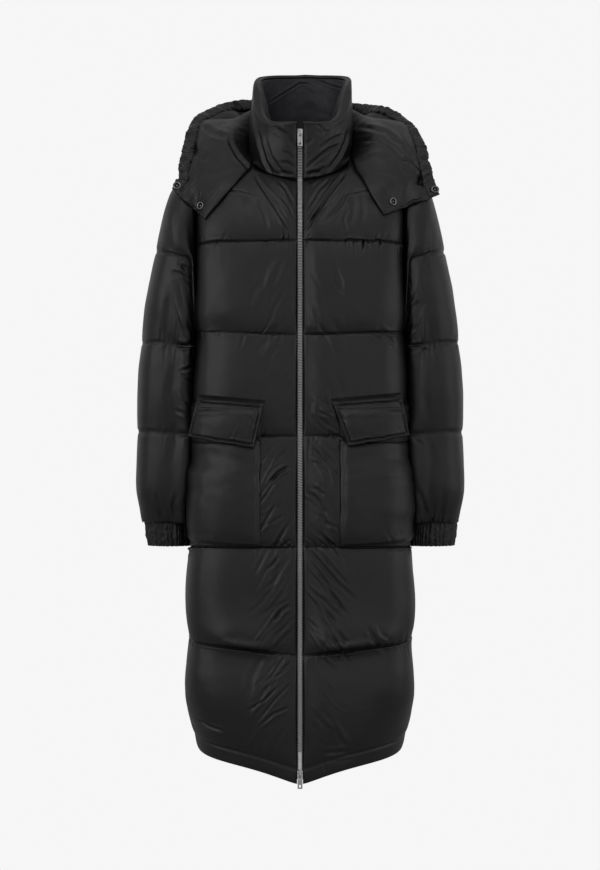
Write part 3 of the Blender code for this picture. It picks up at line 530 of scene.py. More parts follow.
FAN_COUNT, FAN_TOP, FAN_FOOT = 80, -170, -970  # how many small folds, and between which heights


def fan(sign, seed, strong):
    """Short uneven folds that run down and out from the zip, stronger between two heights."""
    rng = np.random.default_rng(seed)
    lines = []
    for z in np.sort(rng.uniform(FAN_FOOT, FAN_TOP, FAN_COUNT))[::-1]:
        near = strong[1] < z < strong[0]
        long = rng.uniform(10, 48) * (1.3 if near else 0.7)
        steep = rng.uniform(0.5, 1.7) if near else rng.uniform(1.2, 3.2)
        x = rng.uniform(6, 40) if near else rng.uniform(8, 60)
        bend = rng.uniform(-0.2, 0.2)
        middle = (x + long * 0.5, z - long * steep * (0.5 + bend))
        depth = rng.uniform(0.5, 2.2) * (1.1 if near else 0.5) * rng.choice([1, 1, -0.7])
        depth *= 1.3 if sign > 0 else 1
        width = rng.uniform(1.7, 3.0) if near else rng.uniform(2.4, 6.0)
        ends = ((x, z), middle, (x + long, z - long * steep))
        lines.append(([(sign * a, b) for a, b in ends], depth, width))
    return tuple(lines)


SEWING_FRAMES, FILLING_FRAMES = 6, 24  # how long the cloth is drawn in, and blown out in all
CLOTH_SETTINGS = {
    "vertex_group_mass": "seams",
    "pin_stiffness": 1.0,
    "use_pressure": True,
    "mass": 0.3,
    "tension_stiffness": 15.0,
    "compression_stiffness": 15.0,
    "shear_stiffness": 5.0,
    "bending_stiffness": 0.5,
    "quality": 5,
}
# How far the blown cloth may slide and sink, how large its ripples may be and how much they grow.
MOST_SLIDE, MOST_DENT, MOST_RIPPLE, RIPPLE_GROWTH = 7.0, 5.0, 4.0, 1.1


def fill(panels, pressure):
    """Draws the cut cloth in to its seams, then blows it out, every panel at once."""
    faces, starts = [], [0]
    for p in panels:
        faces += faces_of(p.outside, p.normals, p.around, starts[-1])
        starts.append(starts[-1] + p.held.size)
    points, cut = (
        np.concatenate([grid.reshape(-1, 3) for grid in grids])
        for grids in ([p.outside for p in panels], [p.cut for p in panels])
    )
    held = np.flatnonzero(np.concatenate([p.held.ravel() for p in panels]))
    mesh = mesh_from("padding", cut, faces)
    cloth = link("padding", mesh)
    cloth.shape_key_add(name="cut")
    sewn = cloth.shape_key_add(name="sewn")
    sewn.data.foreach_set("co", (points * MM).astype(np.float32).ravel())
    cloth.vertex_groups.new(name="seams").add(held.tolist(), 1.0, "REPLACE")
    blown = cloth.modifiers.new("blown", "CLOTH")
    for name, value in CLOTH_SETTINGS.items():
        setattr(blown.settings, name, value)
    blown.settings.uniform_pressure_force = pressure
    blown.settings.effector_weights.gravity = 0.0
    blown.collision_settings.use_collision = False
    blown.point_cache.frame_start, blown.point_cache.frame_end = 1, FILLING_FRAMES + 1
    for number in range(1, FILLING_FRAMES + 1):
        sewn.value = min(1.0, (number - 1) / SEWING_FRAMES)
        bpy.context.scene.frame_set(number)
    seen = cloth.evaluated_get(bpy.context.evaluated_depsgraph_get())
    moved = np.empty(len(mesh.vertices) * 3, np.float32)
    seen.data.vertices.foreach_get("co", moved)
    moved = moved.reshape(-1, 3).astype(float) / MM
    bpy.data.objects.remove(cloth, do_unlink=True)
    for p, start, end in zip(panels, starts, starts[1:]):
        shift = moved[start:end].reshape(p.outside.shape) - p.first
        out = (shift * p.normals).sum(-1, keepdims=True)
        side = shift - out * p.normals
        reach = np.linalg.norm(side, axis=-1, keepdims=True)
        side = side * np.minimum(1.0, MOST_SLIDE / np.maximum(reach, 1e-9))
        broad = blurred(out, 10, p.around)
        most = p.most[..., None]
        capped = np.where(broad > 0, most * np.tanh(broad / most), np.maximum(broad, -MOST_DENT))
        ripple = np.clip(out - broad, -MOST_RIPPLE, MOST_RIPPLE) * RIPPLE_GROWTH
        out = np.where(p.held[..., None], 0.0, capped + ripple)
        p.outside = p.first + out * p.normals + side


# ------------------------------------------------------------------ materials


def node_group(name, kind, inputs, outputs):
    """A node group with its named sockets, and its input and output nodes."""
    tree = bpy.data.node_groups.new(name, kind)
    for in_out, sockets in (("INPUT", inputs), ("OUTPUT", outputs)):
        for label, holds, *value in sockets:
            holder = f"NodeSocket{holds}"
            socket = tree.interface.new_socket(name=label, in_out=in_out, socket_type=holder)
            if value:
                socket.default_value = value[0]
    return tree, tree.nodes.new("NodeGroupInput"), tree.nodes.new("NodeGroupOutput")


def fed(tree, node, **inputs):
    """The node with inputs set, by name or as n and a number. A socket gets linked."""
    for key, value in inputs.items():
        by_number = key[0] == "n" and key[1:].isdigit()
        slot = node.inputs[int(key[1:]) if by_number else key.replace("_", " ")]
        if isinstance(value, bpy.types.NodeSocket):
            tree.links.new(value, slot)
        else:
            slot.default_value = value
    return node


def added(tree, kind, settings=(), **inputs):
    """A new node with its settings and inputs."""
    node = tree.nodes.new(kind)
    for name, value in dict(settings).items():
        setattr(node, name, value)
    return fed(tree, node, **inputs)


def maths(tree, operation, a, b=0.0):
    return added(tree, "ShaderNodeMath", {"operation": operation}, n0=a, n1=b).outputs[0]


def noise(tree, scale, detail, **inputs):
    """Noise on Object coordinates."""
    place = added(tree, "ShaderNodeTexCoord").outputs["Object"]
    made = added(tree, "ShaderNodeTexNoise", Vector=place, Scale=scale, Detail=detail, **inputs)
    return made.outputs[0]


def mixture(tree, share, dark, light):
    mix = added(tree, "ShaderNodeMix", {"data_type": "RGBA"}, n0=share, n6=dark, n7=light)
    return mix.outputs[2]


def ramp(tree, value, start, end, low=0.0, high=1.0):
    made = added(tree, "ShaderNodeMapRange", n0=value, n1=start, n2=end, n3=low, n4=high)
    return made.outputs[0]


def cloth_group():
    """Woven cloth: crossed threads on the UV map, crinkles and slubs on Object coordinates."""
    name = "woven_cloth"
    if name in bpy.data.node_groups:
        return bpy.data.node_groups[name]
    tree, given, out = node_group(
        name,
        "ShaderNodeTree",
        (
            ("Thread", "Float", 0.0006),
            ("Thread Depth", "Float", 0.3),
            ("Crinkle", "Float", 60.0),
            ("Crinkle Depth", "Float", 1.0),
            ("Dark", "Color", (0.01, 0.01, 0.01, 1)),
            ("Light", "Color", (0.03, 0.03, 0.03, 1)),
            ("Smooth", "Float", 0.35),
            ("Rough", "Float", 0.5),
        ),
        (("Color", "Color"), ("Roughness", "Float"), ("Height", "Float")),
    )
    given = given.outputs
    flat = added(tree, "ShaderNodeUVMap", {"uv_map": "cloth"}).outputs[0]
    across, up, _ = added(tree, "ShaderNodeSeparateXYZ", Vector=flat).outputs
    turns = maths(tree, "DIVIDE", 2 * math.pi, given["Thread"])
    warp = maths(tree, "SINE", maths(tree, "MULTIPLY", across, turns))
    weft = maths(tree, "SINE", maths(tree, "MULTIPLY", up, turns))
    weave = maths(tree, "MULTIPLY", maths(tree, "MULTIPLY", warp, weft), given["Thread Depth"])
    crinkle = noise(tree, given["Crinkle"], 6.0, Roughness=0.6, Distortion=0.6)
    tone = ramp(tree, noise(tree, 9.0, 3.0), 0.35, 0.65)
    height = maths(tree, "ADD", weave, maths(tree, "MULTIPLY", crinkle, given["Crinkle Depth"]))
    colour = mixture(tree, tone, given["Dark"], given["Light"])
    rough = ramp(tree, crinkle, 0.3, 0.7, given["Smooth"], given["Rough"])
    fed(tree, out, Color=colour, Roughness=rough, Height=height)
    return tree


def principled(name):
    made = bpy.data.materials.new(name)
    made.use_nodes = True
    return made, made.node_tree, made.node_tree.nodes["Principled BSDF"]


def shade(tint, by):
    """A tint made darker or lighter, with its alpha."""
    return (*[min(1.0, c * by) for c in tint], 1.0)


def bumped(tree, shader, strength, distance, height):
    bump = added(tree, "ShaderNodeBump", Strength=strength, Distance=distance, Height=height)
    tree.links.new(bump.outputs[0], shader.inputs["Normal"])


# Each cloth: its colour, how much darker and lighter it runs, its sheen, and its weave's values.
WEAVE_COLUMNS = ("Thread", "Thread Depth", "Crinkle", "Crinkle Depth", "Smooth", "Rough")
CLOTHS = {
    "glossy_nylon": ("shell", 0.8, 1.15, 0.0, (0.0005, 0.12, 32.0, 0.8, 0.31, 0.41)),
    "gathered_nylon": ("shell", 0.75, 1.1, 0.08, (0.0005, 0.15, 120.0, 1.0, 0.4, 0.55)),
    "lining_nylon": ("lining", 0.85, 1.1, 0.08, (0.0004, 0.1, 60.0, 0.8, 0.5, 0.68)),
    "zip_tape_weave": ("tape", 0.8, 1.3, 0.15, (0.0008, 0.9, 200.0, 0.3, 0.6, 0.8)),
}


def cloth_finish(context, name):
    if name in bpy.data.materials:
        return bpy.data.materials[name]
    colour, dark, light, sheen, weave = CLOTHS[name]
    tint = getattr(context.scene.coat_colours, colour)
    made, tree, shader = principled(name)
    group = added(tree, "ShaderNodeGroup", {"node_tree": cloth_group()})
    values = dict(zip(WEAVE_COLUMNS, weave))
    woven = fed(tree, group, Dark=shade(tint, dark), Light=shade(tint, light), **values).outputs
    fed(tree, shader, Base_Color=woven["Color"], Roughness=woven["Roughness"])
    fed(tree, shader, Sheen_Weight=sheen, Sheen_Roughness=0.45, Specular_IOR_Level=0.5)
    bumped(tree, shader, 0.24, 0.0012, woven["Height"])
    return made


def thread_finish(context):
    name = "sewing_thread"
    if name in bpy.data.materials:
        return bpy.data.materials[name]
    made, tree, shader = principled(name)
    twist = noise(tree, 2500.0, 1.0)
    tint = context.scene.coat_colours.thread
    colour = mixture(tree, twist, shade(tint, 0.6), shade(tint, 1.4))
    fed(tree, shader, Base_Color=colour, Roughness=0.6, Sheen_Weight=0.2)
    bumped(tree, shader, 0.4, 0.0002, twist)
    return made


def metal(name, tint, rough):
    if name in bpy.data.materials:
        return bpy.data.materials[name]
    made, tree, shader = principled(name)
    wear = noise(tree, 900.0, 3.0)
    colour = mixture(tree, wear, shade(tint, 0.7), shade(tint, 1.25))
    worn = ramp(tree, wear, 0.3, 0.7, rough - 0.08, rough + 0.12)
    fed(tree, shader, Base_Color=colour, Roughness=worn, Metallic=1.0)
    bumped(tree, shader, 0.15, 0.0001, wear)
    return made


# ------------------------------------------------------------------ body

FRONT_CELLS, BACK_CELLS = 70, 84
BODY_CENTRE = (0, 0, -500)
SLEEVE_SPAN, SLEEVE_SPAN_ENDS = (-640, -250), 60  # the heights at which a sleeve lies beside
QUILT_STEP = 2.2  # how far from a quilting line the cloth has left it
ZIP_WALL, BROAD = 1.7, 0.8
# How thick the body's filling is by its seams, off its lines, in its puffs and behind the sleeves.
BY_SEAM, OFF_LINE, PUFFED, BY_SLEEVE = 1.3, 1.5, 5.0, 3.0
FRONT_CELL, BACK_CELL = 4.2, 6.0  # how far apart the rows are
# Folds: the line of each as x and z, how deep, how wide, and "back" for one on the back.
LEFT_FOLDS = (
    ([(77, -32), (58, -58), (36, -90), (8, -138)], 3.8, 2.6),
    ([(70, -52), (46, -84), (22, -112), (8, -126)], 1.3, 2.4),
    ([(81, -60), (66, -92), (44, -118)], 1.8, 3.4),
    ([(50, -44), (32, -62), (12, -96)], 1.5, 2.6),
    ([(85, -46), (90, -88), (85, -126)], 1.3, 6.0),
    ([(97, -56), (104, -93), (103, -120)], 1.0, 5.0),
    ([(80, -96), (72, -116), (78, -138)], 1.2, 3.0),
    ([(12, -50), (30, -38)], 2.0, 4.0),
    ([(9, -652), (50, -701), (91, -742)], 3.0, 3.4),
    ([(22, -650), (54, -690), (82, -722)], 2.4, 2.8),
    ([(12, -690), (34, -716), (64, -760)], 2.0, 2.6),
    ([(9, -720), (24, -740), (40, -764)], -2.2, 2.6),
    ([(14, -560), (38, -596), (46, -634)], 2.0, 4.5),
    ([(28, -506), (44, -530), (52, -556)], 1.8, 4.0),
    ([(112, -784), (120, -806), (137, -826)], 4.0, 3.4),
    ([(120, -778), (129, -800), (146, -812)], -3.2, 3.0),
    ([(37, -992), (83, -988)], 2.4, 3.4),
    ([(52, -1002), (86, -996)], -1.6, 3.0),
    ([(132.3, -295.2), (146, -312), (158, -326)], 2.2, 4.0),
    ([(118, -300), (130, -318)], 1.6, 4.0),
)
RIGHT_FOLDS = (
    ([(-77, -36), (-57, -70), (-34, -106), (-14, -141)], 3.8, 2.6),
    ([(-68, -44), (-50, -76), (-30, -104), (-12, -124)], 1.8, 2.4),
    ([(-58, -60), (-36, -88), (-20, -122)], 1.8, 2.6),
    ([(-72, -78), (-60, -104), (-52, -134)], 1.4, 3.4),
    ([(-36, -48), (-24, -62), (-12, -86)], 1.6, 2.4),
    ([(-30, -78), (-18, -94), (-11, -112)], 1.5, 2.2),
    ([(-90, -60), (-100, -96), (-96, -126)], 1.0, 6.0),
    ([(-50, -550), (-34, -532), (-17, -522)], 3.4, 2.8),
    ([(-44, -778), (-30, -758), (-15, -749)], 3.8, 3.0),
    ([(-14, -610), (-34, -640), (-46, -672)], 2.0, 2.8),
    ([(-12, -660), (-34, -690), (-50, -730)], 2.0, 5.0),
    ([(-170, -938), (-150, -950), (-124, -957)], 2.4, 2.6),
    ([(-60, -830), (-78, -866), (-84, -906)], 1.6, 5.0),
)
BACK_FOLDS = (
    ([(-70, 20), (-60, -40), (-66, -110)], 2.4, 7.0, "back"),
    ([(64, 18), (58, -30), (70, -96)], 2.0, 7.0, "back"),
    ([(-110, -330), (-80, -372), (-30, -392)], 2.4, 7.0, "back"),
    ([(36, -520), (82, -560), (128, -574)], 2.2, 7.0, "back"),
    ([(-130, -690), (-96, -730), (-84, -776)], 2.6, 7.0, "back"),
    ([(20, -850), (64, -884), (120, -900)], 2.4, 8.0, "back"),
)


def puff_between(level, lines, skew=1.0):
    """The rise of the puffs between lines, from 0 at a line to 1 inside; skew drops the crest."""
    level = np.asarray(level, float)
    i = np.clip(np.searchsorted(lines, level, side="right") - 1, 0, len(lines) - 2)
    low, high = np.asarray(lines, float)[i], np.asarray(lines, float)[i + 1]
    f = np.clip((level - low) / (high - low), 0, 1) ** skew
    return np.sin(np.pi * f) ** 0.85 * (level > lines[0])


# Puffs that hang over the quilting line below them, by the sign of x, or 0 for the back: the line,
# where along it from the zip to the side, how far out and how high.
OVERHANGS = {
    1: ((-778, 0.06, 0.51, 24.0, 10.0), (-466, 0.25, 0.6, 3.0, 7.0)),
    -1: ((-778, 0.13, 0.48, 23.0, 10.0), (-466, 0.3, 0.65, 3.0, 7.0)),
    0: ((-778, -0.5, 0.1, 7.0, 10.0), (-466, 0.1, 0.6, 5.0, 9.0)),
}
UNDERCUT = 5.5


def overhang(level, across, back, side):
    """How much further out the cloth hangs just above some quilting lines."""
    made = 0.0 * level
    for line, start, end, out, high in OVERHANGS[0 if back else side]:
        f = np.clip((level - line) / high, 0, 8)
        along_line = np.clip((across - start) / (end - start), 0, 1)
        below = np.clip((line - level) / 12, 0, 8)
        bulge = out * f * np.exp(1 - f) - UNDERCUT * below * np.exp(1 - below)
        made = made + bulge * np.sin(np.pi * along_line) ** 0.7
    return made


def even_rows(keys, cell):
    """Rows about a cell apart whose number of spans is even."""
    while len(spread(keys, cell)) % 2 == 0:
        cell *= 0.995
    return spread(keys, cell)


def body_panel(name, back, side, cells_across, cell, growth, seed):
    levels = [row[2] for row in BODY_LEVELS]
    beside_lines = [line + way * QUILT_STEP for line in QUILTS[1:-1] for way in (-1, 1)]
    heights = even_rows(np.array(sorted([*levels, *beside_lines]), float), cell)
    across = np.linspace(-1 if back else 0, 1, cells_across + 1)
    level, a = np.meshgrid(heights, across, indexing="ij")
    inside = body_form(level, a, back)
    rise = puff_between(level, QUILTS, 0.8)
    by_zip = 1.0 if back else np.minimum(1.0, 8.0 * a)
    off_line = np.minimum(1.0, np.abs(level[..., None] - QUILTS).min(-1) / QUILT_STEP)
    (low, high), over = SLEEVE_SPAN, SLEEVE_SPAN_ENDS
    beside = np.abs(a) ** 6 * np.clip(np.minimum((level - low) / over, (high - level) / over), 0, 1)
    free = by_zip * (1 - np.abs(a) ** 12)
    fuller = (BY_SEAM + OFF_LINE * off_line + PUFFED * rise * (1 - np.abs(a) ** 5)) * free
    thick = ZIP_WALL + (SEAM_WALL - ZIP_WALL) * by_zip + fuller + BY_SLEEVE * beside
    thick = thick + BROAD * uneven(level.shape, seed + 200, 70) * free * off_line
    thick = thick + overhang(level, a, back, side)
    thick = np.where(level < QUILTS[0], ZIP_WALL + (HEM_WALL - ZIP_WALL) * by_zip, thick)
    held = np.isin(level, QUILTS) | (level == heights[0])
    held |= np.abs(a) == 1
    if not back:
        held |= a == 0
    if side < 0:
        inside = inside * (-1, 1, 1)
    panel = Panel(name, inside, thick, held, growth, centre=BODY_CENTRE, seed=seed)
    panel.across, panel.heights = across, heights
    panel.most = 0.8 + 4.0 * rise * (1 - np.abs(a) ** 6)
    panel.rows = [int(np.flatnonzero(heights == line)[0]) for line in QUILTS]
    return panel


BUILT = {}  # panels that other pieces lie on or are sewn along


def coat_piece(made, name, body="coat"):
    made.name = made.data.name = f"{name}_piece"
    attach(made, body)
    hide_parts(name)
    return made


def padded_piece(context, panel, inside, step=2, lined=False):
    """A filled panel, closed over its inside, as a piece in the shell's cloth."""
    BUILT[panel.name] = panel
    finish = cloth_finish(context, "glossy_nylon")
    lining = cloth_finish(context, "lining_nylon") if lined else None
    made = shell(panel.name, panel.fine, inside, finish, panel.around, step, lining)
    coat_piece(made, panel.name)


def growth_of(context, across, up):
    """How much larger a panel is cut than its seams: both ways across and up."""
    grow = context.scene.coat_sizes.growth
    return (1 + grow * across, 1 + grow * across, 1 + grow * up)


def clear_of(points, tree, gap, reach=25.0):
    """Points moved out of a surface below them, to a gap above it."""
    flat = points.reshape(-1, 3).copy()
    for i, point in enumerate(flat):
        place, normal, _, distance = tree.find_nearest(Vector(point), reach)
        if place is None:
            continue
        signed = distance if (Vector(point) - place).dot(normal) >= 0 else -distance
        if signed < gap:
            flat[i] = np.array(point) + np.array(normal) * (gap - signed)
    return flat.reshape(points.shape)


class COAT_OT_body(bpy.types.Operator):
    """Make the two fronts and the back, quilted across"""

    bl_idname = "coat.body"
    bl_label = "Body"

    def execute(self, context):
        growth = growth_of(context, 1, 0.4)
        panels = [
            body_panel("front_left", False, 1, FRONT_CELLS, FRONT_CELL, growth, 11),
            body_panel("front_right", False, -1, FRONT_CELLS, FRONT_CELL, growth, 12),
            body_panel("back", True, 1, BACK_CELLS, BACK_CELL, growth, 13),
        ]
        folds = (
            LEFT_FOLDS + fan(1, 31, (-430, -930)),
            RIGHT_FOLDS + fan(-1, 32, (-470, -930)),
            BACK_FOLDS,
        )
        for panel, lines in zip(panels, folds):
            panel.crease(lines, 0.5)
        fill(panels, context.scene.coat_sizes.pressure)
        for panel, lines in zip(panels, folds):
            panel.finish(lines, 1.0, panel.rows[1:-1], 2.6)
            padded_piece(context, panel, panel.inside[::2, ::2], step=4, lined=True)
        return {"FINISHED"}


# ------------------------------------------------------------------ sleeves and cuffs

SLEEVE_CELLS, SLEEVE_PARTS = 80, (28, 32, 32, 30)
SLEEVE_FILL, SLEEVE_PUFF = 3.5, 5.0
# The cuff's rings: z, x, half width and half depth.
CUFF_RINGS = (
    (-613.5, 223, 38, 50),
    (-622, 221, 36.5, 47),
    (-646, 219, 35.5, 46),
    (-657, 218, 35, 44),
)
CUFF_WIDER = {"left": 4.0, "right": 0.0}
CUFF_Y, CUFF_WALL = -21.0, 5.0
CUFF_ROWS, CUFF_POINTS, CUFF_GATHERS = 29, 264, 44


def sleeve_rows(turns):
    """Which ring each point lies at, in rows that follow the quilting lines, and the rows' rise."""
    last = len(SLEEVE_RINGS) - 1
    fine = np.linspace(0, last, 800)
    keys = []
    for turn in turns:
        z = sleeve_form(fine, np.full_like(fine, turn))[:, 2]
        inward = (1 - math.cos(turn)) / 2
        marks = [0.0]
        for out_z, in_z in SLEEVE_LINES:
            line = out_z + (in_z - out_z) * inward
            marks.append(float(np.interp(-line, -z, fine)) if z[0] > line else 0.0)
        keys.append([*marks, last])
    keys = np.array(keys)
    keys[:, 1] = np.maximum(keys[:, 1], 0.7)
    rows, rise = [], []
    for k, steps in enumerate(SLEEVE_PARTS):
        for i in range(steps):
            t = i / steps
            rows.append(keys[:, k] * (1 - t) + keys[:, k + 1] * t)
            rise.append(t)
    rows.append(keys[:, -1])
    rise.append(0.0)
    return np.array(rows), np.sin(np.pi * np.array(rise) ** 1.12)[:, None] ** 0.85


def sleeve_panel(side, sign, growth, seed):
    """A sleeve whose rows follow its quilting lines, which slope across its rings."""
    turns = (np.arange(SLEEVE_CELLS) + 0.5) * 2 * math.pi / SLEEVE_CELLS
    at, rise = sleeve_rows(turns)
    turn = np.broadcast_to(turns, at.shape)
    inside = sleeve_form(at, turn)
    inward = (1 - np.cos(turn)) / 2
    by_body = 1 - 0.5 * (1 - inward) ** 4
    near_armhole = np.minimum(at / 2, 1) ** 0.5
    thick = SEAM_WALL + (SLEEVE_FILL + SLEEVE_PUFF * rise * by_body) * near_armhole
    thick = thick + BROAD * uneven(at.shape, seed + 200, 60, True) * rise
    held = np.zeros(at.shape, bool)
    held[[0, *np.cumsum(SLEEVE_PARTS)]] = True
    centre = inside.mean(1, keepdims=True) * (sign, 1, 1)
    inside = inside * (sign, 1, 1)
    panel = Panel(f"sleeve_{side}", inside, thick, held, growth, True, centre, seed)
    panel.most = 1.0 + 3.0 * rise * by_body
    panel.rows = [int(n) for n in np.cumsum(SLEEVE_PARTS)]
    return panel


SLEEVE_FOLDS = {
    "left": (
        ([(172, -255), (184, -246), (195, -236)], 3.6, 3.2),
        ([(174, -272), (190, -256), (206, -250)], 2.4, 3.0),
        ([(176, -334), (198, -328), (216, -332)], 2.4, 3.0),
        ([(176, -470), (192, -478), (206, -492)], 2.0, 3.0),
        ([(212, -240), (216, -330), (206, -400), (214, -460)], 1.8, 8.0),
        ([(214, -470), (220, -520), (212, -590)], 1.8, 7.0),
        ([(196, -560), (206, -590), (210, -608)], 2.0, 4.0),
        ([(240, -566), (236, -590), (234, -608)], 2.0, 4.0),
        ([(250, -200), (226, -260), (232, -300)], 1.8, 6.0, "back"),
        ([(190, -420), (220, -470), (226, -540)], 2.0, 6.0, "back"),
    ),
    "right": (
        ([(-172, -204), (-186, -196), (-202, -188)], 4.4, 3.0),
        ([(-174, -222), (-196, -206), (-214, -198)], 3.0, 3.0),
        ([(-174, -314), (-190, -322), (-206, -318)], 2.6, 2.8),
        ([(-174, -352), (-186, -362), (-198, -364)], 3.0, 2.8),
        ([(-174, -384), (-190, -376), (-200, -366)], 3.4, 2.8),
        ([(-178, -446), (-192, -436), (-206, -430)], 3.2, 2.8),
        ([(-178, -430), (-190, -414), (-196, -398)], 2.4, 2.6),
        ([(-214, -228), (-222, -300), (-212, -330)], 1.6, 8.0),
        ([(-206, -350), (-214, -400), (-204, -450), (-212, -520)], 1.8, 8.0),
        ([(-240, -570), (-234, -592), (-228, -608)], 2.2, 4.0),
        ([(-204, -566), (-210, -590), (-206, -608)], 2.0, 4.0),
        ([(-250, -200), (-230, -250), (-236, -296)], 1.8, 6.0, "back"),
        ([(-192, -400), (-216, -456), (-230, -520)], 2.0, 6.0, "back"),
    ),
}


class COAT_OT_sleeves(bpy.types.Operator):
    """Make the two quilted sleeves"""

    bl_idname = "coat.sleeves"
    bl_label = "Sleeves"

    def execute(self, context):
        growth = growth_of(context, 1.2, 0.4)
        panels = [sleeve_panel(*which, growth, 21 + i) for i, which in enumerate(SIDES)]
        for panel, (side, _) in zip(panels, SIDES):
            panel.crease(SLEEVE_FOLDS[side], 0.5)
        fill(panels, context.scene.coat_sizes.pressure)
        for panel, (side, _) in zip(panels, SIDES):
            for name in (f"front_{side}", "back"):
                tree = tree_of(BUILT[name].outside, BUILT[name].normals)
                panel.outside[5:] = clear_of(panel.outside[5:], tree, -0.2)
            panel.finish(SLEEVE_FOLDS[side], 1.0, [0, *panel.rows], 2.3)
            padded_piece(context, panel, panel.inside[::2, ::2], step=4, lined=True)
        return {"FINISHED"}


def cuff_ring(x, z, wide, deep, turn, sign):
    """Rings of points round the wrist."""
    rings = ((x + wide * np.cos(turn)) * sign, CUFF_Y + deep * np.sin(turn), z)
    return np.stack(np.broadcast_arrays(*rings), -1)


class COAT_OT_cuffs(bpy.types.Operator):
    """Make the elastic cuffs, gathered all round"""

    bl_idname = "coat.cuffs"
    bl_label = "Cuffs"

    def execute(self, context):
        rings = np.array(CUFF_RINGS, float).T
        keys = (rings[0, 0] - rings[0]) / (rings[0, 0] - rings[0, -1])
        down = np.linspace(0, 1, CUFF_ROWS)[:, None]
        z, x, half_width, half_depth = (through(keys, column)(down) for column in rings)
        turn = np.arange(CUFF_POINTS) * 2 * math.pi / CUFF_POINTS
        band = np.sin(np.pi * down) ** 0.5
        for (side, sign), seed in zip(SIDES, (41, 42)):
            wander = uneven_ring(CUFF_POINTS, seed, 60) * 0.22
            phase = turn * CUFF_GATHERS + wander * 9
            slant = (down - 0.5) * uneven_ring(CUFF_POINTS, seed + 4, 90) * 0.9
            folds = np.abs(np.sin((phase + slant) / 2)) ** 0.55
            height = 1 + 0.35 * uneven_ring(CUFF_POINTS, seed + 8, 12)
            lift = CUFF_WALL - 1.6 + folds * height * (1.5 + 0.4 * band) - 1.2 * (1 - band)
            lift += 0.5 * uneven((CUFF_ROWS, CUFF_POINTS), seed + 12, 3, True)
            wide = half_width + CUFF_WIDER[side] * np.clip(down * 4, 0, 1)
            drawn = z + 0.8 * folds * (down * 2 - 1) * -1
            out = cuff_ring(x, drawn, wide + lift, half_depth + lift, turn, sign)
            inn = cuff_ring(x, z, wide, half_depth, turn, sign)[::2, ::2]
            name = f"cuff_{side}"
            made = shell(name, out, inn, cloth_finish(context, "gathered_nylon"), around=True)
            piece = coat_piece(made, name)
        return {"FINISHED"}


# ------------------------------------------------------------------ collar and its lining

COLLAR_CELLS, COLLAR_ROWS, ROLL_ROWS = 120, 26, 10
COLLAR_FILL, COLLAR_PUFF = 4.0, 6.5
# How the rim runs, at some degrees round from the zip: its height, and how thick it is rolled.
RIM_TURNS = (0, 18, 30, 42, 55, 68, 82, 98, 120, 150, 180)
RIM_HEIGHTS = (50, 50, 52, 60, 77, 98, 118, 131, 141, 147, 149)
RIM_ROLLS = (9, 10, 14, 19, 22, 21, 16, 11, 8, 7, 7)
RIM_OUT, RIM_LEAN = 10.0, 8.5
LINING_EDGE = 14.5  # how far from the zip the lining ends
COLLAR_FOLDS = (
    ([(-10, 8), (-24, 30), (-42, 42)], 2.8, 3.6),
    ([(-9, -12), (-18, -4), (-28, 3)], 2.2, 3.0),
    ([(-9, -26), (-20, -18), (-34, -16)], 2.0, 3.0),
    ([(-8, -38), (-24, -34), (-40, -34)], 2.6, 3.2),
    ([(-44, -38), (-58, -12), (-66, 15), (-71, 44)], 4.6, 3.0),
    ([(-30, -34), (-48, -8), (-58, 24)], 3.0, 2.6),
    ([(-20, -40), (-34, -26), (-44, -6)], 2.2, 2.4),
    ([(12, -24), (24, -14), (38, -2), (52, 8), (72, 17)], 4.6, 2.6),
    ([(30, 4), (45, 17), (60, 27), (74, 32)], 3.2, 2.6),
    ([(48, -28), (66, -2), (77, 22), (81, 44)], 4.2, 3.0),
    ([(28, 48), (42, 34), (52, 40)], 2.0, 2.4),
    ([(10, -30), (28, -26), (44, -17)], -2.6, 3.6),
    ([(9, -38), (24, -33), (38, -35)], 2.4, 3.0),
    ([(10, 12), (20, 22), (24, 36)], 2.0, 3.2),
    ([(28, 36), (40, 30), (50, 36)], 1.8, 3.0),
    ([(-30, 60), (-36, 100), (-28, 130)], 2.6, 6.0, "back"),
    ([(26, 66), (20, 110), (34, 140)], 2.4, 6.0, "back"),
    ([(-4, 70), (6, 96), (2, 128)], 1.8, 5.0, "back"),
)
LINING_FOLDS = (
    ([(-56, 98), (-24, 121), (0, 137), (12, 136), (24, 129)], 2.6, 1.5),
    ([(22, 146), (50, 133), (84, 117)], 2.4, 1.5),
    ([(10, 128), (22, 118), (28, 104)], 1.0, 3.0),
)


def collar_inner(turn, share):
    """The shown collar's inner points: share is 0 at the neck seam and 1 where the rim rolls."""
    degrees = np.degrees(np.minimum(turn, 2 * math.pi - turn))
    high = through(RIM_TURNS, RIM_HEIGHTS)(degrees)
    roll = through(RIM_TURNS, RIM_ROLLS)(degrees)
    low_z, top_z = collar_form(turn, 0 * turn)[..., 2], collar_form(turn, 0 * turn + 1)[..., 2]
    height = share * (high - roll / 2 - low_z) / (top_z - low_z)
    points = collar_form(turn, height)
    away = unit(points * (1, 1, 0))
    blend = np.clip((share - 0.5) / 0.5, 0, 1) ** 1.4
    points = points - away * ((roll - RIM_OUT) * blend)[..., None]
    points[..., 0] += RIM_LEAN * share * (1 - np.cos(turn)) / 2
    return points, away, roll, blend


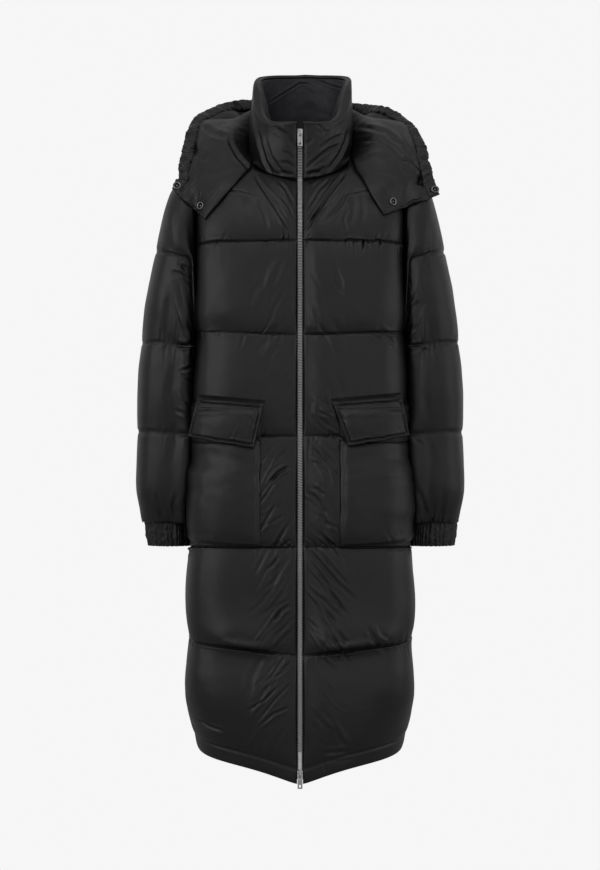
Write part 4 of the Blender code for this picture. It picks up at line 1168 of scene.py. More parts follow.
def collar_grids():
    """The collar's inner and outer grids, up to the end of its rim's roll, and the roll's core."""
    edge = math.asin(ZIP_EDGE / NECK_DEPTH)
    turns = np.linspace(edge, 2 * math.pi - edge, COLLAR_CELLS + 1)
    off_zip = np.clip(np.minimum(turns - edge, turns[::-1] - edge) / 0.45, 0, 1)
    from_zip = 0.35 + 0.65 * np.sqrt(off_zip)
    turn, share = np.meshgrid(turns, np.linspace(0.03, 1.0, COLLAR_ROWS + 1))
    base, away, roll, blend = collar_inner(turn, share)
    rise = np.sin(np.pi * (0.08 + 0.84 * share)) ** 0.7
    puff = (COLLAR_FILL + COLLAR_PUFF * rise) * from_zip
    thick = puff * (1 - blend) + roll * blend
    half_roll = (roll[-1] / 2)[:, None]
    foot, head = (collar_form(turns, np.full(turns.shape, height)) for height in (0.0, 1.0))
    up = unit(head - foot)
    middle = base[-1] + away[-1] * half_roll
    inside, outside = [*base], [*(base + away * thick[..., None])]
    for n in range(1, ROLL_ROWS + 1):
        angle = math.pi * n / ROLL_ROWS
        way = (away[-1] * math.cos(angle) + up * math.sin(angle)) * half_roll
        outside.append(middle + way)
        inside.append(middle + way * 0.4)
    core = np.concatenate([base, np.repeat(middle[None], ROLL_ROWS, 0)])
    return np.array(inside), np.array(outside), core


class COAT_OT_collar(bpy.types.Operator):
    """Make the padded collar with its rolled rim, and the lining inside it"""

    bl_idname = "coat.collar"
    bl_label = "Collar"

    def execute(self, context):
        inside, outside, core = collar_grids()
        held = np.zeros(outside.shape[:2], bool)
        held[[0, -1]] = held[:, [0, -1]] = True
        panel = Panel("collar", inside, 0.0, held, 1.0, centre=(0, 0, 0), seed=61)
        panel.normals = unit(outside - core)
        from_rim = np.abs(np.arange(len(outside)) - COLLAR_ROWS - 2)[:, None] / 6
        lumps = uneven(held.shape, 62, 16) * 1.3 * np.exp(-(from_rim**2))
        ruffle = uneven(held.shape, 61, 2) * 0.4 + lumps
        panel.outside = outside + panel.normals * (ruffle * ~held)[..., None]
        panel.first = panel.outside.copy()
        foot_middle = outside[0].mean(0)
        panel.cut = (outside - foot_middle) * growth_of(context, 1, 0.5) + foot_middle
        panel.most = np.full(held.shape, 2.0)
        panel.crease(COLLAR_FOLDS, 0.3)
        fill([panel], context.scene.coat_sizes.pressure)
        panel.finish(COLLAR_FOLDS, 0.62, [0], 1.8)
        padded_piece(context, panel, inside)
        self.line(context)
        return {"FINISHED"}

    def line(self, context):
        start = math.asin(LINING_EDGE / NECK_DEPTH)
        turns = np.linspace(start, 2 * math.pi - start, 201)
        turn, share = np.meshgrid(turns, np.linspace(0.0, 1.0, 61))
        near, away, _, _ = collar_inner(turn, share)
        ripple = 0.5 * uneven(turn.shape, 63, 30) * np.sin(np.pi * share)
        fine = near - away * (2.4 + np.abs(ripple))[..., None]
        push = sum(fold_at(fine, points, width) * depth for points, depth, width in LINING_FOLDS)
        fine = fine + away * (np.clip(push, -1.6, 1.8) * (near[..., 1] > 0))[..., None]
        back = (near - away * 0.4)[::2, ::2]
        made = shell("collar_lining", fine, back, cloth_finish(context, "lining_nylon"))
        piece = coat_piece(made, "collar_lining")


# ------------------------------------------------------------------ pockets and flaps

POCKET_ACROSS = (0.215, 0.72)
POCKET_HEIGHTS = (-632.0, -402.0)
FLAP_CORNERS = {  # head inner, head outer, foot inner, foot outer: x and z
    "left": ((51.3, -411.5), (164.3, -401.2), (77.7, -484.0), (177.5, -465.7)),
    "right": ((-57.3, -414.3), (-165.8, -404.1), (-73.5, -487.4), (-182.0, -467.2)),
}
FLAP_COLUMNS, FLAP_ROWS = 41, 27
FLAP_WALL, FLAP_RIM, FLAP_GROOVE = 4.4, 2.6, 3.0
FLAP_CENTRE = (0, 300, -440)
POCKET_WANDER = 0.9
FLAP_END_SLOPE = 0.95  # how steeply the flap's outer end may fall back
BEFORE_COAT, BACKWARD = -400.0, Vector((0.0, 1.0, 0.0))  # where rays start, and their way


def between(values, low, high):
    """Where a rising run of values lies between two, as an odd number of places."""
    found = np.flatnonzero((values >= low) & (values <= high))
    return slice(found[0], found[-1] + len(found) % 2)


def pocket_panel(side, growth, seed):
    """A patch pocket on the front's own outside, smoothed and padded."""
    front = BUILT[f"front_{side}"]
    area = (between(front.heights, *POCKET_HEIGHTS), between(front.across, *POCKET_ACROSS))
    below, normals = front.outside[area], front.normals[area]
    up, across = (np.minimum(1, 1.25 * np.sin(np.pi * t) ** 0.6) for t in shares(below))
    rise = up * across
    full = np.minimum(1, rise * 2)
    over = blurred(((blurred(below, 60) - below) * normals).sum(-1), 10)
    thick = np.maximum(over + 5.5, 2.4) * full + 1.8 * (1 - full) + 2.5 * rise
    held = np.zeros(below.shape[:2], bool)
    held[[0, 1, -1]] = held[:, [0, 1, -1]] = True
    inside = below + normals * 0.4
    name = f"pocket_{side}"
    panel = Panel(name, inside, thick, held, growth, centre=BODY_CENTRE, seed=seed, lift=6.0)
    panel.most = 1.0 + 3.0 * rise
    return panel


def first_ahead(x, z, trees):
    """The y of whatever lies nearest the front at a place, if anything does."""
    start = Vector((x, BEFORE_COAT, z))
    hits = [tree.ray_cast(start, BACKWARD)[0] for tree in trees]
    return min((hit.y for hit in hits if hit is not None), default=None)


def flap_grid(side, trees):
    """The flap's lower surface: a quadrilateral laid on what is below it, its outer end free."""
    head_in, head_out, foot_in, foot_out = (np.array(c, float) for c in FLAP_CORNERS[side])
    u = np.linspace(0, 1, FLAP_COLUMNS)[:, None]
    v = np.linspace(0, 1, FLAP_ROWS)[:, None, None]
    flat = (head_in * (1 - u) + head_out * u) * v + (foot_in * (1 - u) + foot_out * u) * (1 - v)
    grid = np.empty((*flat.shape[:2], 3))
    grid[..., 0], grid[..., 2] = flat[..., 0], flat[..., 1]
    for r, c in np.ndindex(flat.shape[:2]):
        x, z = flat[r, c]
        found = first_ahead(x, z, trees)
        y = 0.0 if found is None else found
        if c:
            y = min(y, grid[r, c - 1, 1] + FLAP_END_SLOPE * abs(x - flat[r, c - 1, 0]))
        grid[r, c, 1] = y
    smooth = blurred(grid, 14)
    grid[..., 1] = np.minimum(smooth[..., 1], grid[..., 1] + 0.6)
    grid[..., 1] -= 0.8 + 3.2 * (1 - v[..., 0]) ** 1.5
    return grid


def flap_panel(side, trees, growth):
    grid = flap_grid(side, trees)
    v, u = shares(grid)
    held = np.zeros(grid.shape[:2], bool)
    held[[0, 2, -1, -3]] = held[:, [0, 2, -1, -3]] = True
    thick = np.full(grid.shape[:2], FLAP_WALL)
    thick[[0, -1]] = thick[:, [0, -1]] = FLAP_RIM
    thick[[2, -3], 2:-2] = thick[2:-2, [2, -3]] = FLAP_GROOVE
    thick += 2.2 * (np.sin(np.pi * v) * np.sin(np.pi * u)) ** 0.6
    name = f"pocket_flap_{side}"
    panel = Panel(name, grid, thick, held, growth, centre=FLAP_CENTRE, seed=75, lift=5.0)
    panel.most = np.full(held.shape, 2.2)
    return panel


class COAT_OT_pockets(bpy.types.Operator):
    """Make the patch pockets and the slanting flaps over them"""

    bl_idname = "coat.pockets"
    bl_label = "Pockets"

    def execute(self, context):
        pressure = context.scene.coat_sizes.pressure
        growth = growth_of(context, 0.7, 0.5)
        pockets = [pocket_panel(side, growth, 71 + i) for i, (side, _) in enumerate(SIDES)]
        fill(pockets, pressure)
        flaps = []
        for panel, (side, _) in zip(pockets, SIDES):
            panel.finish((), 0.0, [0, panel.outside.shape[0] - 1], 1.2)
            panel.fine[..., 0] += POCKET_WANDER * uneven((len(panel.fine), 1), panel.seed + 9, 24)
            padded_piece(context, panel, panel.inside)
            trees = [tree_of(p.outside, p.normals) for p in (panel, BUILT[f"front_{side}"])]
            flaps.append(flap_panel(side, trees, growth))
        fill(flaps, pressure)
        for flap in flaps:
            flap.finish((), 0.0, [2, flap.outside.shape[0] - 3], 0.25)
            padded_piece(context, flap, flap.inside)
        return {"FINISHED"}


# ------------------------------------------------------------------ hood

# From each front end round to the centre back: neck edge, fold, how far the pouch drops and
# reaches, and the face opening's edge.
HOOD_RIGHT = (
    ((-158, -92, -115), (-174, -87, -99), 0, 0, (-215, -80, -60)),
    ((-122, -97, -72), (-150, -90, -52), 0, 0, (-208, -66, -36)),
    ((-80, -66, -21), (-130, -62, -4), 0, 0, (-202, -42, -6)),
    ((-86, -18, 0), (-126, -12, 42), 0, 0, (-197, -10, 28)),
    ((-79, 34, 32), (-106, 40, 66), 0, 0, (-186, 48, 68)),
    ((-54, 70, 56), (-74, 84, 96), 60, 30, (-142, 108, 106)),
    ((-26, 85, 68), (-36, 106, 114), 240, 50, (-80, 156, 130)),
)
HOOD_LEFT = (
    ((139, -100, -108), (166, -94, -98), 0, 0, (235, -78, -70)),
    ((112, -98, -64), (150, -90, -48), 0, 0, (225, -62, -40)),
    ((89, -64, -17), (134, -60, 0), 0, 0, (220, -40, -8)),
    ((86, -18, 0), (128, -12, 46), 0, 0, (213, -10, 22)),
    ((79, 34, 32), (108, 40, 70), 0, 0, (195, 48, 62)),
    ((54, 70, 56), (76, 84, 98), 60, 30, (150, 108, 102)),
    ((26, 85, 68), (36, 106, 114), 240, 50, (84, 156, 124)),
)
HOOD_BACK = ((0, 88, 70), (0, 110, 118), 268, 52, (0, 172, 126))
HOOD_STEPS, HOOD_ACROSS = 9, 26  # rows from one section to the next, and columns of points
HOOD_SEAMS = (48, 78)  # rows where the side panels meet the centre one
HOOD_WALL, HOOD_EDGE_WALL = 9.0, 3.0
CASING_WIDTH, HOOD_SEAM_GAP = 20.0, 0.4
CASING_RINGS, CASING_POINTS, CASING_GATHER = 620, 24, 13.0  # the last is a gather's own length
# Where the hood hangs over the chest: an axis, where that starts, and how far on it is free.
HOOD_HANGS = ((1, -45.0, 18.0), (2, -30.0, 30.0))
UNDER_HOOD = ("front_left", "front_right", "back", "sleeve_left", "sleeve_right", "collar")
SNAPS = [(f"snap_{side}_{end}", side, end) for side, _ in SIDES for end in ("inner", "outer")]
SNAP_FLAT, SNAP_HELD, SNAP_FULL = 11, 13, 26  # how far round a snap the hood is flat, held and full


def node_points(name):
    """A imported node's points, in millimetres."""
    mesh = bpy.data.objects[name].data
    co = np.empty(len(mesh.vertices) * 3)
    mesh.vertices.foreach_get("co", co)
    return co.reshape(-1, 3) / MM


def hood_section(row):
    """Seven points from the neck edge to the face opening's edge."""
    neck, fold, drop, reach, edge = (np.array(v, float) for v in row)
    if drop == 0:
        stand = [neck + (fold - neck) * t for t in (0.0, 0.5, 1.0)]
        return np.array(stand + [fold + (edge - fold) * t for t in (0.25, 0.5, 0.75, 1.0)])
    away = unit((edge - fold) * (1, 1, 0))

    def in_pouch(base, out, down):
        return base + away * reach * out - np.array((0, 0, drop * down))

    forward = min(0.6, 36.0 / drop)  # a shallow pouch's outer wall leans over its opening
    outside = in_pouch(edge + (fold - edge) * (0.25 + forward / 2), 0.5 - forward, 0.0)
    outside[2] = edge[2] - drop * 0.5
    stand = [neck, neck + (fold - neck) * 0.55, fold]
    return np.array([*stand, in_pouch(fold, 0.25, 0.55), in_pouch(fold, 0.8, 1.0), outside, edge])


def smooth_line(points, count):
    """Points along a smooth curve through the given ones, which may be rows of points."""
    keys = np.arange(len(points))
    at = np.linspace(0, len(points) - 1, count + 1)
    flat = np.asarray(points, float).reshape(len(points), -1)
    made = np.stack([through(keys, flat[:, i])(at) for i in range(flat.shape[1])], -1)
    return made.reshape(count + 1, *np.shape(points)[1:])


def lifted(point, trees, clearance, reach=35.0):
    """The point moved out until it is this far from every piece below it."""
    point = Vector(point)
    for _ in range(5):
        worst, way = clearance, None
        for tree in trees:
            place, normal, _, distance = tree.find_nearest(point, reach)
            if place is None:
                continue
            signed = distance if (point - place).dot(normal) >= 0 else -distance
            if signed < worst:
                worst, way = signed, normal
        if way is None:
            break
        point = point + way * (clearance - worst + 0.2)
    return point


def ahead_of(point, trees, clearance):
    """How far forward the point moves to lie in front of the coat, where it hangs over the chest."""
    if any(point[i] > edge for i, edge, _ in HOOD_HANGS):
        return 0.0
    front = first_ahead(point[0], point[2], trees)
    return 0.0 if front is None else max(0.0, point[1] - front + clearance)


def hood_sheet():
    """The hood's middle surface and the casing's, from the right front end to the left one."""
    trees = [tree_of(BUILT[n].outside, BUILT[n].normals, BUILT[n].around) for n in UNDER_HOOD]
    sections = [hood_section(row) for row in (*HOOD_RIGHT, HOOD_BACK, *HOOD_LEFT[::-1])]
    lines = np.array([smooth_line(section, HOOD_ACROSS) for section in sections])
    sheet = smooth_line(lines, (len(lines) - 1) * HOOD_STEPS)
    rows, columns = np.indices(sheet.shape[:2])
    inward = np.minimum(np.minimum(rows, len(sheet) - 1 - rows) / 8, columns / 5)
    clearance = HOOD_EDGE_WALL / 2 + 1.4 + (HOOD_WALL / 2 + 0.6) * np.clip(inward, 0, 1)
    raised = [[lifted(p, trees, c) for p, c in zip(*row)] for row in zip(sheet, clearance)]
    below = [tree for name, tree in zip(UNDER_HOOD, trees) if name != "collar"]
    ahead = [[ahead_of(p, below, c) for p, c in zip(*row)] for row in zip(sheet, clearance)]
    ends = np.pad(np.array(ahead), 1, mode="edge")
    ahead = np.maximum(np.maximum(ends[:-2], ends[2:]), ends[1:-1])[:, 1:-1]
    hangs = [np.clip((edge - sheet[..., i]) / over, 0, 1) for i, edge, over in HOOD_HANGS]
    share = (hangs[0] * hangs[1])[..., None]
    forward = sheet - blurred(ahead, 4)[..., None] * (0, 1, 0)
    sheet = blurred(np.array(raised) * (1 - share) + forward * share, 2)
    own, bands = [], []
    for row in sheet:
        at = travelled(row)
        edge = at[-1] - CASING_WIDTH
        for found, places in (
            (own, np.linspace(0, edge - HOOD_SEAM_GAP, HOOD_ACROSS + 1)),
            (bands, [edge, edge + CASING_WIDTH / 2, at[-1]]),
        ):
            found.append(np.stack([np.interp(places, at, row[:, i]) for i in range(3)], -1))
    return np.array(own), np.array(bands)


HOOD_FOLDS = (
    # the right panel, as worn
    ([(-80, -32), (-104, -4), (-124, 34)], 3.0, 3.4),
    ([(-150, -10), (-176, 4), (-190, 30)], 2.4, 6.0),
    ([(-120, 30), (-146, 40), (-170, 60)], 2.4, 5.0),
    ([(-196, -30), (-180, 10), (-176, 46)], 2.2, 6.0),
    # and the left one
    ([(98, 56), (146, 42), (172, 18), (196, -20)], 2.2, 4.5),
    ([(100, 24), (128, 28), (158, 8), (176, -14)], 1.4, 4.0),
    ([(96, -6), (130, 4), (166, -8)], 1.0, 5.0),
    ([(168, -6), (190, -12), (206, -30)], 2.4, 3.0),
    ([(168, 40), (180, 14), (200, -4)], 1.6, 4.0),
    # the pouch at the back
    ([(-60, 40), (-40, -20), (-70, -90)], 3.0, 9.0, "back"),
    ([(50, 60), (84, 0), (76, -80)], 3.0, 9.0, "back"),
    ([(-20, 100), (10, 40), (0, -60)], 2.4, 10.0, "back"),
)


def hood_part(sheet, first, end):
    """One panel's middle surface, drawn back from its seams, and the points that are held."""
    part = sheet[first : end + 1].copy()
    tangents = unit(np.gradient(sheet, axis=0))
    last = len(sheet) - 1
    if first:
        part[0] += tangents[first] * HOOD_SEAM_GAP * 0.8
    if end < last:
        part[-1] -= tangents[end] * HOOD_SEAM_GAP * 0.8
    part = finer(part)
    held = np.zeros(part.shape[:2], bool)
    held[[0, -1]] = held[:, [0, -1]] = True
    held[2] |= first == 0
    held[-3] |= end == last
    return part, held


def hood_sides(name, part, held, seed, grow):
    """The front and the rear of one hood panel, flat round the snaps."""
    v, u = shares(part)
    rise = (np.sin(np.pi * v) * np.sin(np.pi * u)) ** 0.35
    half = (HOOD_EDGE_WALL + (HOOD_WALL - HOOD_EDGE_WALL) * rise) / 2
    for snap, _, _ in SNAPS:
        away = np.linalg.norm(part - node_points(snap).mean(0), axis=-1)
        fuller = np.clip((away - SNAP_FLAT) / (SNAP_FULL - SNAP_FLAT), 0, 1)
        near = HOOD_EDGE_WALL / 2 + (half - HOOD_EDGE_WALL / 2) * fuller
        half = np.where(away < SNAP_FULL, near, half)
        held |= away < SNAP_HELD
    across, up = np.gradient(part, axis=1), np.gradient(part, axis=0)
    sides = []
    for side in (1, -1):
        p = Panel(name, part, 0.0, held, 1.0, seed=seed + (side < 0) * 5)
        p.normals = unit(np.cross(up, across)) * side
        ruffle = uneven(held.shape, p.seed, 2) * 0.15 * ~held
        p.outside = part + p.normals * (half + ruffle)[..., None]
        p.first = p.outside.copy()
        centre = p.outside.mean((0, 1))
        p.cut = (p.outside - centre) * (1 + grow * 0.3) + centre
        p.most = 1.0 + 4.0 * rise if side > 0 else np.full(held.shape, 1.5)
        sides.append(p)
    return sides


class COAT_OT_hood(bpy.types.Operator):
    """Make the hood, which hangs open at the back, and the gathered casing round its edge"""

    bl_idname = "coat.hood"
    bl_label = "Hood"

    def execute(self, context):
        sheet, bands = hood_sheet()
        first_seam, last_seam = HOOD_SEAMS
        spans = {
            "hood_right": (0, first_seam),
            "hood_centre": HOOD_SEAMS,
            "hood_left": (last_seam, len(sheet) - 1),
        }
        sizes = context.scene.coat_sizes
        pairs = [
            hood_sides(name, *hood_part(sheet, *span), seed, sizes.growth)
            for seed, (name, span) in enumerate(spans.items(), 81)
        ]
        for front, _ in pairs:
            front.crease(HOOD_FOLDS, 0.5)
        fill([panel for pair in pairs for panel in pair], sizes.pressure * 0.6)
        for front, rear in pairs:
            front.finish(HOOD_FOLDS, 1.0, [0, front.outside.shape[0] - 1], 0.8)
            padded_piece(context, front, rear.outside)
        self.casing(context, bands)
        return {"FINISHED"}

    def casing(self, context, bands):
        """A soft tube along the face opening, drawn up on its cord into uneven gathers."""
        count, around = CASING_RINGS, CASING_POINTS
        bands = smooth_line(bands, count)
        middle, wide = bands[:, 1], (bands[:, 2] - bands[:, 0]) / 2
        normal = unit(np.cross(np.gradient(middle, axis=0), wide))
        down = travelled(middle)
        turn = np.arange(around) * 2 * math.pi / around
        wander = uneven((count + 1, 1), 91, 60)[:, 0] * 3.2
        twist = uneven((count + 1, around), 92, 26, True) * 1.6
        phase = (down / CASING_GATHER * math.pi + wander)[:, None] + twist
        folds = np.abs(np.sin(phase)) ** 0.6
        tight = np.clip(0.75 + 0.35 * uneven((count + 1, 1), 93, 90), 0.35, 1.2)
        from_end = np.minimum(down, down[-1] - down)[:, None]
        tight = tight * np.clip((from_end - 16) / 14, 0.12, 1.0)
        ends = np.minimum(1, from_end / 12)
        lift = (folds - 0.55) * 5.2 * tight + 0.9 * uneven((count + 1, around), 94, 5, True)
        c, s = (np.sign(w) * np.abs(w) ** 0.85 for w in (np.cos(turn), np.sin(turn)))
        thick = 3.6 + 1.2 * ends
        half = np.linalg.norm(wide, axis=1)[:, None] + 0.8
        grid = (
            middle[:, None]
            + unit(wide)[:, None] * (c * (half + lift * 0.35))[..., None]
            + normal[:, None] * (s * (thick + lift * 0.8))[..., None]
        )
        closed = np.concatenate([grid[:1] * 0 + middle[0], grid, grid[:1] * 0 + middle[-1]])
        quads = cells(numbered(closed, True)).reshape(-1, 4).tolist()
        u, v = np.meshgrid(np.arange(around + 1) * 2.2, np.concatenate([[0], down, down[-1:]]))
        uvs = cells(np.stack([u, v], -1) * MM).reshape(-1, 2)
        points = closed.reshape(-1, 3)
        mesh = mesh_from("hood_casing", points, quads, uvs)
        with edited(mesh, mesh) as built:
            bmesh.ops.remove_doubles(built, verts=built.verts, dist=1e-6)
            bmesh.ops.recalc_face_normals(built, faces=built.faces)
        BUILT["casing_tree"] = BVHTree.FromPolygons(points.tolist(), quads)
        made = link("hood_casing", mesh, cloth_finish(context, "glossy_nylon"))
        coat_piece(made, "hood_casing")


# ------------------------------------------------------------------ snaps

# A cap's profile, from its middle to its foot: radius and height.
SNAP_PROFILE = (
    (0.0, 1.5),
    (1.0, 1.45),
    (1.5, 1.2),
    (1.8, 0.7),
    (1.85, -0.2),
    (2.3, -0.4),
    (3.3, -0.4),
    (3.75, -0.1),
    (3.85, 1.2),
    (4.2, 1.9),
    (4.8, 2.4),
    (5.5, 2.6),
    (6.1, 2.45),
    (6.6, 2.0),
    (6.9, 1.3),
    (7.0, 0.6),
    (6.95, -0.6),
)
SNAP_SHADED_STEPS = (4, 8)  # the profile's steps in the cap's recess, painted near-black as shade
SNAP_SIDES = 48
SNAP_SINK, SNAP_STAND = 1.3, 1.2  # how deep the profile sits, and how far its foot stands off
SNAP_SEATS = ((0, 0), (5.5, 0), (-5.5, 0), (0, 5.5), (0, -5.5))  # where a cap feels what is below


class COAT_OT_snaps(bpy.types.Operator):
    """Make the four ring snaps at the hood's front ends"""

    bl_idname = "coat.snaps"
    bl_label = "Snaps"

    def execute(self, context):
        finish = metal("pressed_metal", context.scene.coat_colours.snap, 0.28)
        # Painted shade: the recess inside each cap's ring gets a near-black metal that stands for
        # the shade falling in it.
        recess_shade = metal("blackened_metal", (0.012, 0.012, 0.013), 0.5)
        for name, side, place in SNAPS:
            co = node_points(name)
            centre = (co.min(0) + co.max(0)) / 2
            axis = Vector(np.linalg.svd(co - co.mean(0))[2][2])
            if axis.y > 0:
                axis.negate()
            hood, below = BUILT[f"hood_{side}"], BUILT["casing_tree"]
            if place == "inner":
                below = tree_of(hood.fine, hood.fine_normals)
            start = Vector(centre) + axis * 30
            turn = axis.to_track_quat("Z", "Y").to_matrix()
            rays = [start + turn @ Vector((x, y, 0)) for x, y in SNAP_SEATS]
            hits = [below.ray_cast(ray, -axis, 60)[0] for ray in rays]
            seats = [(hit - start).dot(axis) for hit in hits if hit is not None]
            if seats:
                centre = np.array(start + axis * (max(seats) + SNAP_STAND))
            piece = link(name, self.cap(name, turn, centre), finish, recess_shade)
            # The recess's faces take the painted shade.
            for k in range(SNAP_SIDES):
                for r in range(*SNAP_SHADED_STEPS):
                    piece.data.polygons[k * (len(SNAP_PROFILE) - 1) + r].material_index = 1
            coat_piece(piece, name)
        return {"FINISHED"}

    def cap(self, name, turn, centre):
        """The profile turned round its middle, and closed at its foot."""
        rings, faces = [], []
        for radius, height in SNAP_PROFILE:
            for k in range(SNAP_SIDES if radius else 1):
                angle = 2 * math.pi * k / SNAP_SIDES
                x, y = radius * math.cos(angle), radius * math.sin(angle)
                rings.append(np.array(turn @ Vector((x, y, height - SNAP_SINK))) + centre)
        last = len(SNAP_PROFILE) - 2
        for k in range(SNAP_SIDES):
            after = (k + 1) % SNAP_SIDES
            faces.append((0, 1 + k, 1 + after))
            for r in range(last):
                a, b = 1 + r * SNAP_SIDES, 1 + (r + 1) * SNAP_SIDES
                faces.append((a + k, b + k, b + after, a + after))
        faces.append([1 + last * SNAP_SIDES + k for k in range(SNAP_SIDES)][::-1])
        return mesh_from(name, rings, faces)


# ------------------------------------------------------------------ zip


def zip_line():
    """The zip's line, from hem to rim, as heights and depths in millimetres."""
    turn = math.asin(ZIP_EDGE / NECK_DEPTH)
    rim = collar_form(np.full(7, turn), np.array((0.07, 0.16, 0.32, 0.52, 0.72, 0.88, 1.0)))
    levels = BUILT["front_left"].heights
    fronts = body_form(levels, np.zeros_like(levels), False)
    line = np.concatenate([fronts, rim])
    return line[:, 2], -line[:, 1]


def zip_place(z):
    """Points on the zip's line and its outward normals, at some heights."""
    heights, depths = zip_line()
    z = np.asarray(z, float)
    depth = np.interp(z, heights, depths)
    slope = (np.interp(z + 2, heights, depths) - np.interp(z - 2, heights, depths)) / 4
    normal = unit(np.stack([0 * z, -np.ones_like(z), -slope], -1))
    return np.stack([0 * z, -depth, z], -1), normal


def repeat_tree(name):
    """A node tree that sets copies of a piece along lines, evenly apart and turned to follow."""
    if name in bpy.data.node_groups:
        return bpy.data.node_groups[name]
    tree, given, out = node_group(
        name,
        "GeometryNodeTree",
        (
            ("Geometry", "Geometry"),
            ("Piece", "Object"),
            ("Spacing", "Float"),
            ("Wander", "Float"),
            ("Finish", "Material"),
        ),
        (("Geometry", "Geometry"),),
    )
    given = given.outputs

    def node(kind, settings=(), **inputs):
        return added(tree, kind, settings, **inputs).outputs

    curve = node("GeometryNodeMeshToCurve", Mesh=given["Geometry"])[0]
    by_length = {"mode": "LENGTH"}
    evenly = node("GeometryNodeResampleCurve", by_length, Curve=curve, Length=given["Spacing"])[0]
    vector = {"data_type": "FLOAT_VECTOR"}
    facing = node("GeometryNodeInputNamedAttribute", vector, Name="facing")[0]
    ahead = node("GeometryNodeInputTangent")[0]
    align = "FunctionNodeAlignRotationToVector"
    first = node(align, {"axis": "Z"}, Vector=facing)[0]
    then = node(align, {"axis": "X", "pivot_axis": "Z"}, Rotation=first, Vector=ahead)[0]
    low = maths(tree, "MULTIPLY", given["Wander"], -1.0)
    number = {"data_type": "FLOAT"}
    shake = node("FunctionNodeRandomValue", number, n2=low, n3=given["Wander"], Seed=7)[1]
    turn = node("ShaderNodeCombineXYZ", Z=shake)[0]
    turned = node("FunctionNodeRotateRotation", {"rotation_space": "LOCAL"}, n0=then, n1=turn)[0]
    piece = node("GeometryNodeObjectInfo", Object=given["Piece"])["Geometry"]
    copies = node("GeometryNodeInstanceOnPoints", Points=evenly, Instance=piece, Rotation=turned)
    real = node("GeometryNodeRealizeInstances", Geometry=copies[0])[0]
    painted = node("GeometryNodeSetMaterial", Geometry=real, Material=given["Finish"])[0]
    tree.links.new(painted, out.inputs[0])
    return tree


def repeated(name, lines, piece, spacing, finish, wander=0.0):
    """Copies of a piece along lines of (points, outward normals), made into one plain mesh."""
    points, facings = (np.concatenate(part) for part in zip(*lines))
    edges, start = [], 0
    for line, _ in lines:
        edges += [(start + i, start + i + 1) for i in range(len(line) - 1)]
        start += len(line)
    mesh = bpy.data.meshes.new(name)
    mesh.from_pydata((points * MM).tolist(), edges, [])
    facing = mesh.attributes.new("facing", "FLOAT_VECTOR", "POINT")
    facing.data.foreach_set("vector", facings.astype(np.float32).ravel())
    carrier = link(name, mesh)
    row = carrier.modifiers.new("row", "NODES")
    row.node_group = repeat_tree("repeated_along")
    values = {"Piece": piece, "Spacing": spacing * MM, "Wander": wander, "Finish": finish}
    for item in row.node_group.interface.items_tree:
        if item.in_out == "INPUT" and item.name in values:
            row[item.identifier] = values[item.name]
    carrier.update_tag()
    seen = carrier.evaluated_get(bpy.context.evaluated_depsgraph_get())
    plain = bpy.data.meshes.new_from_object(seen)
    carrier.modifiers.remove(row)
    carrier.data = plain
    bpy.data.meshes.remove(mesh)
    plain.name = name
    if not plain.polygons:
        raise RuntimeError(f"{name} has no faces")
    return carrier


def bevelled_box(name, low, high, bevel):
    mesh = bpy.data.meshes.new(name)
    with edited(mesh) as built:
        bmesh.ops.create_cube(built, size=1.0)
        for vert in built.verts:
            vert.co = [((a + b) / 2 + (b - a) * c) * MM for a, b, c in zip(low, high, vert.co)]
        edges = list(built.edges)
        bmesh.ops.bevel(
            built, geom=edges, offset=bevel * MM, segments=1, affect="EDGES", profile=0.5
        )
    return mesh


TOOTH_PITCH, TOOTH_POINTS = 2.6, 1.3  # one tooth to the next on the same side, and along its line
TOOTH_BOX = (0.66, 2.25, (-1.8, 1.35), 0.28)  # half along and across the zip, outwards, its bevel
TOOTH_LIFT, TOOTH_ASIDE = 1.1, 1.65
TOOTH_SHADE = 1.05  # how bright the teeth are beside the sliders
TAPE_END = 5.5  # how far the tapes run on below the teeth
# The tape's section, from its middle edge outwards: how far across, and how high its cord stands.
TAPE_ACROSS = np.array((2.2, 2.6, 3.3, 4.0, 4.4, 5.0, 7.0, 10.0, 13.0))
TAPE_CORD = np.array((0.2, 0.9, 1.25, 0.9, 0.1, 0.0, 0.0, 0.0, 0.0))


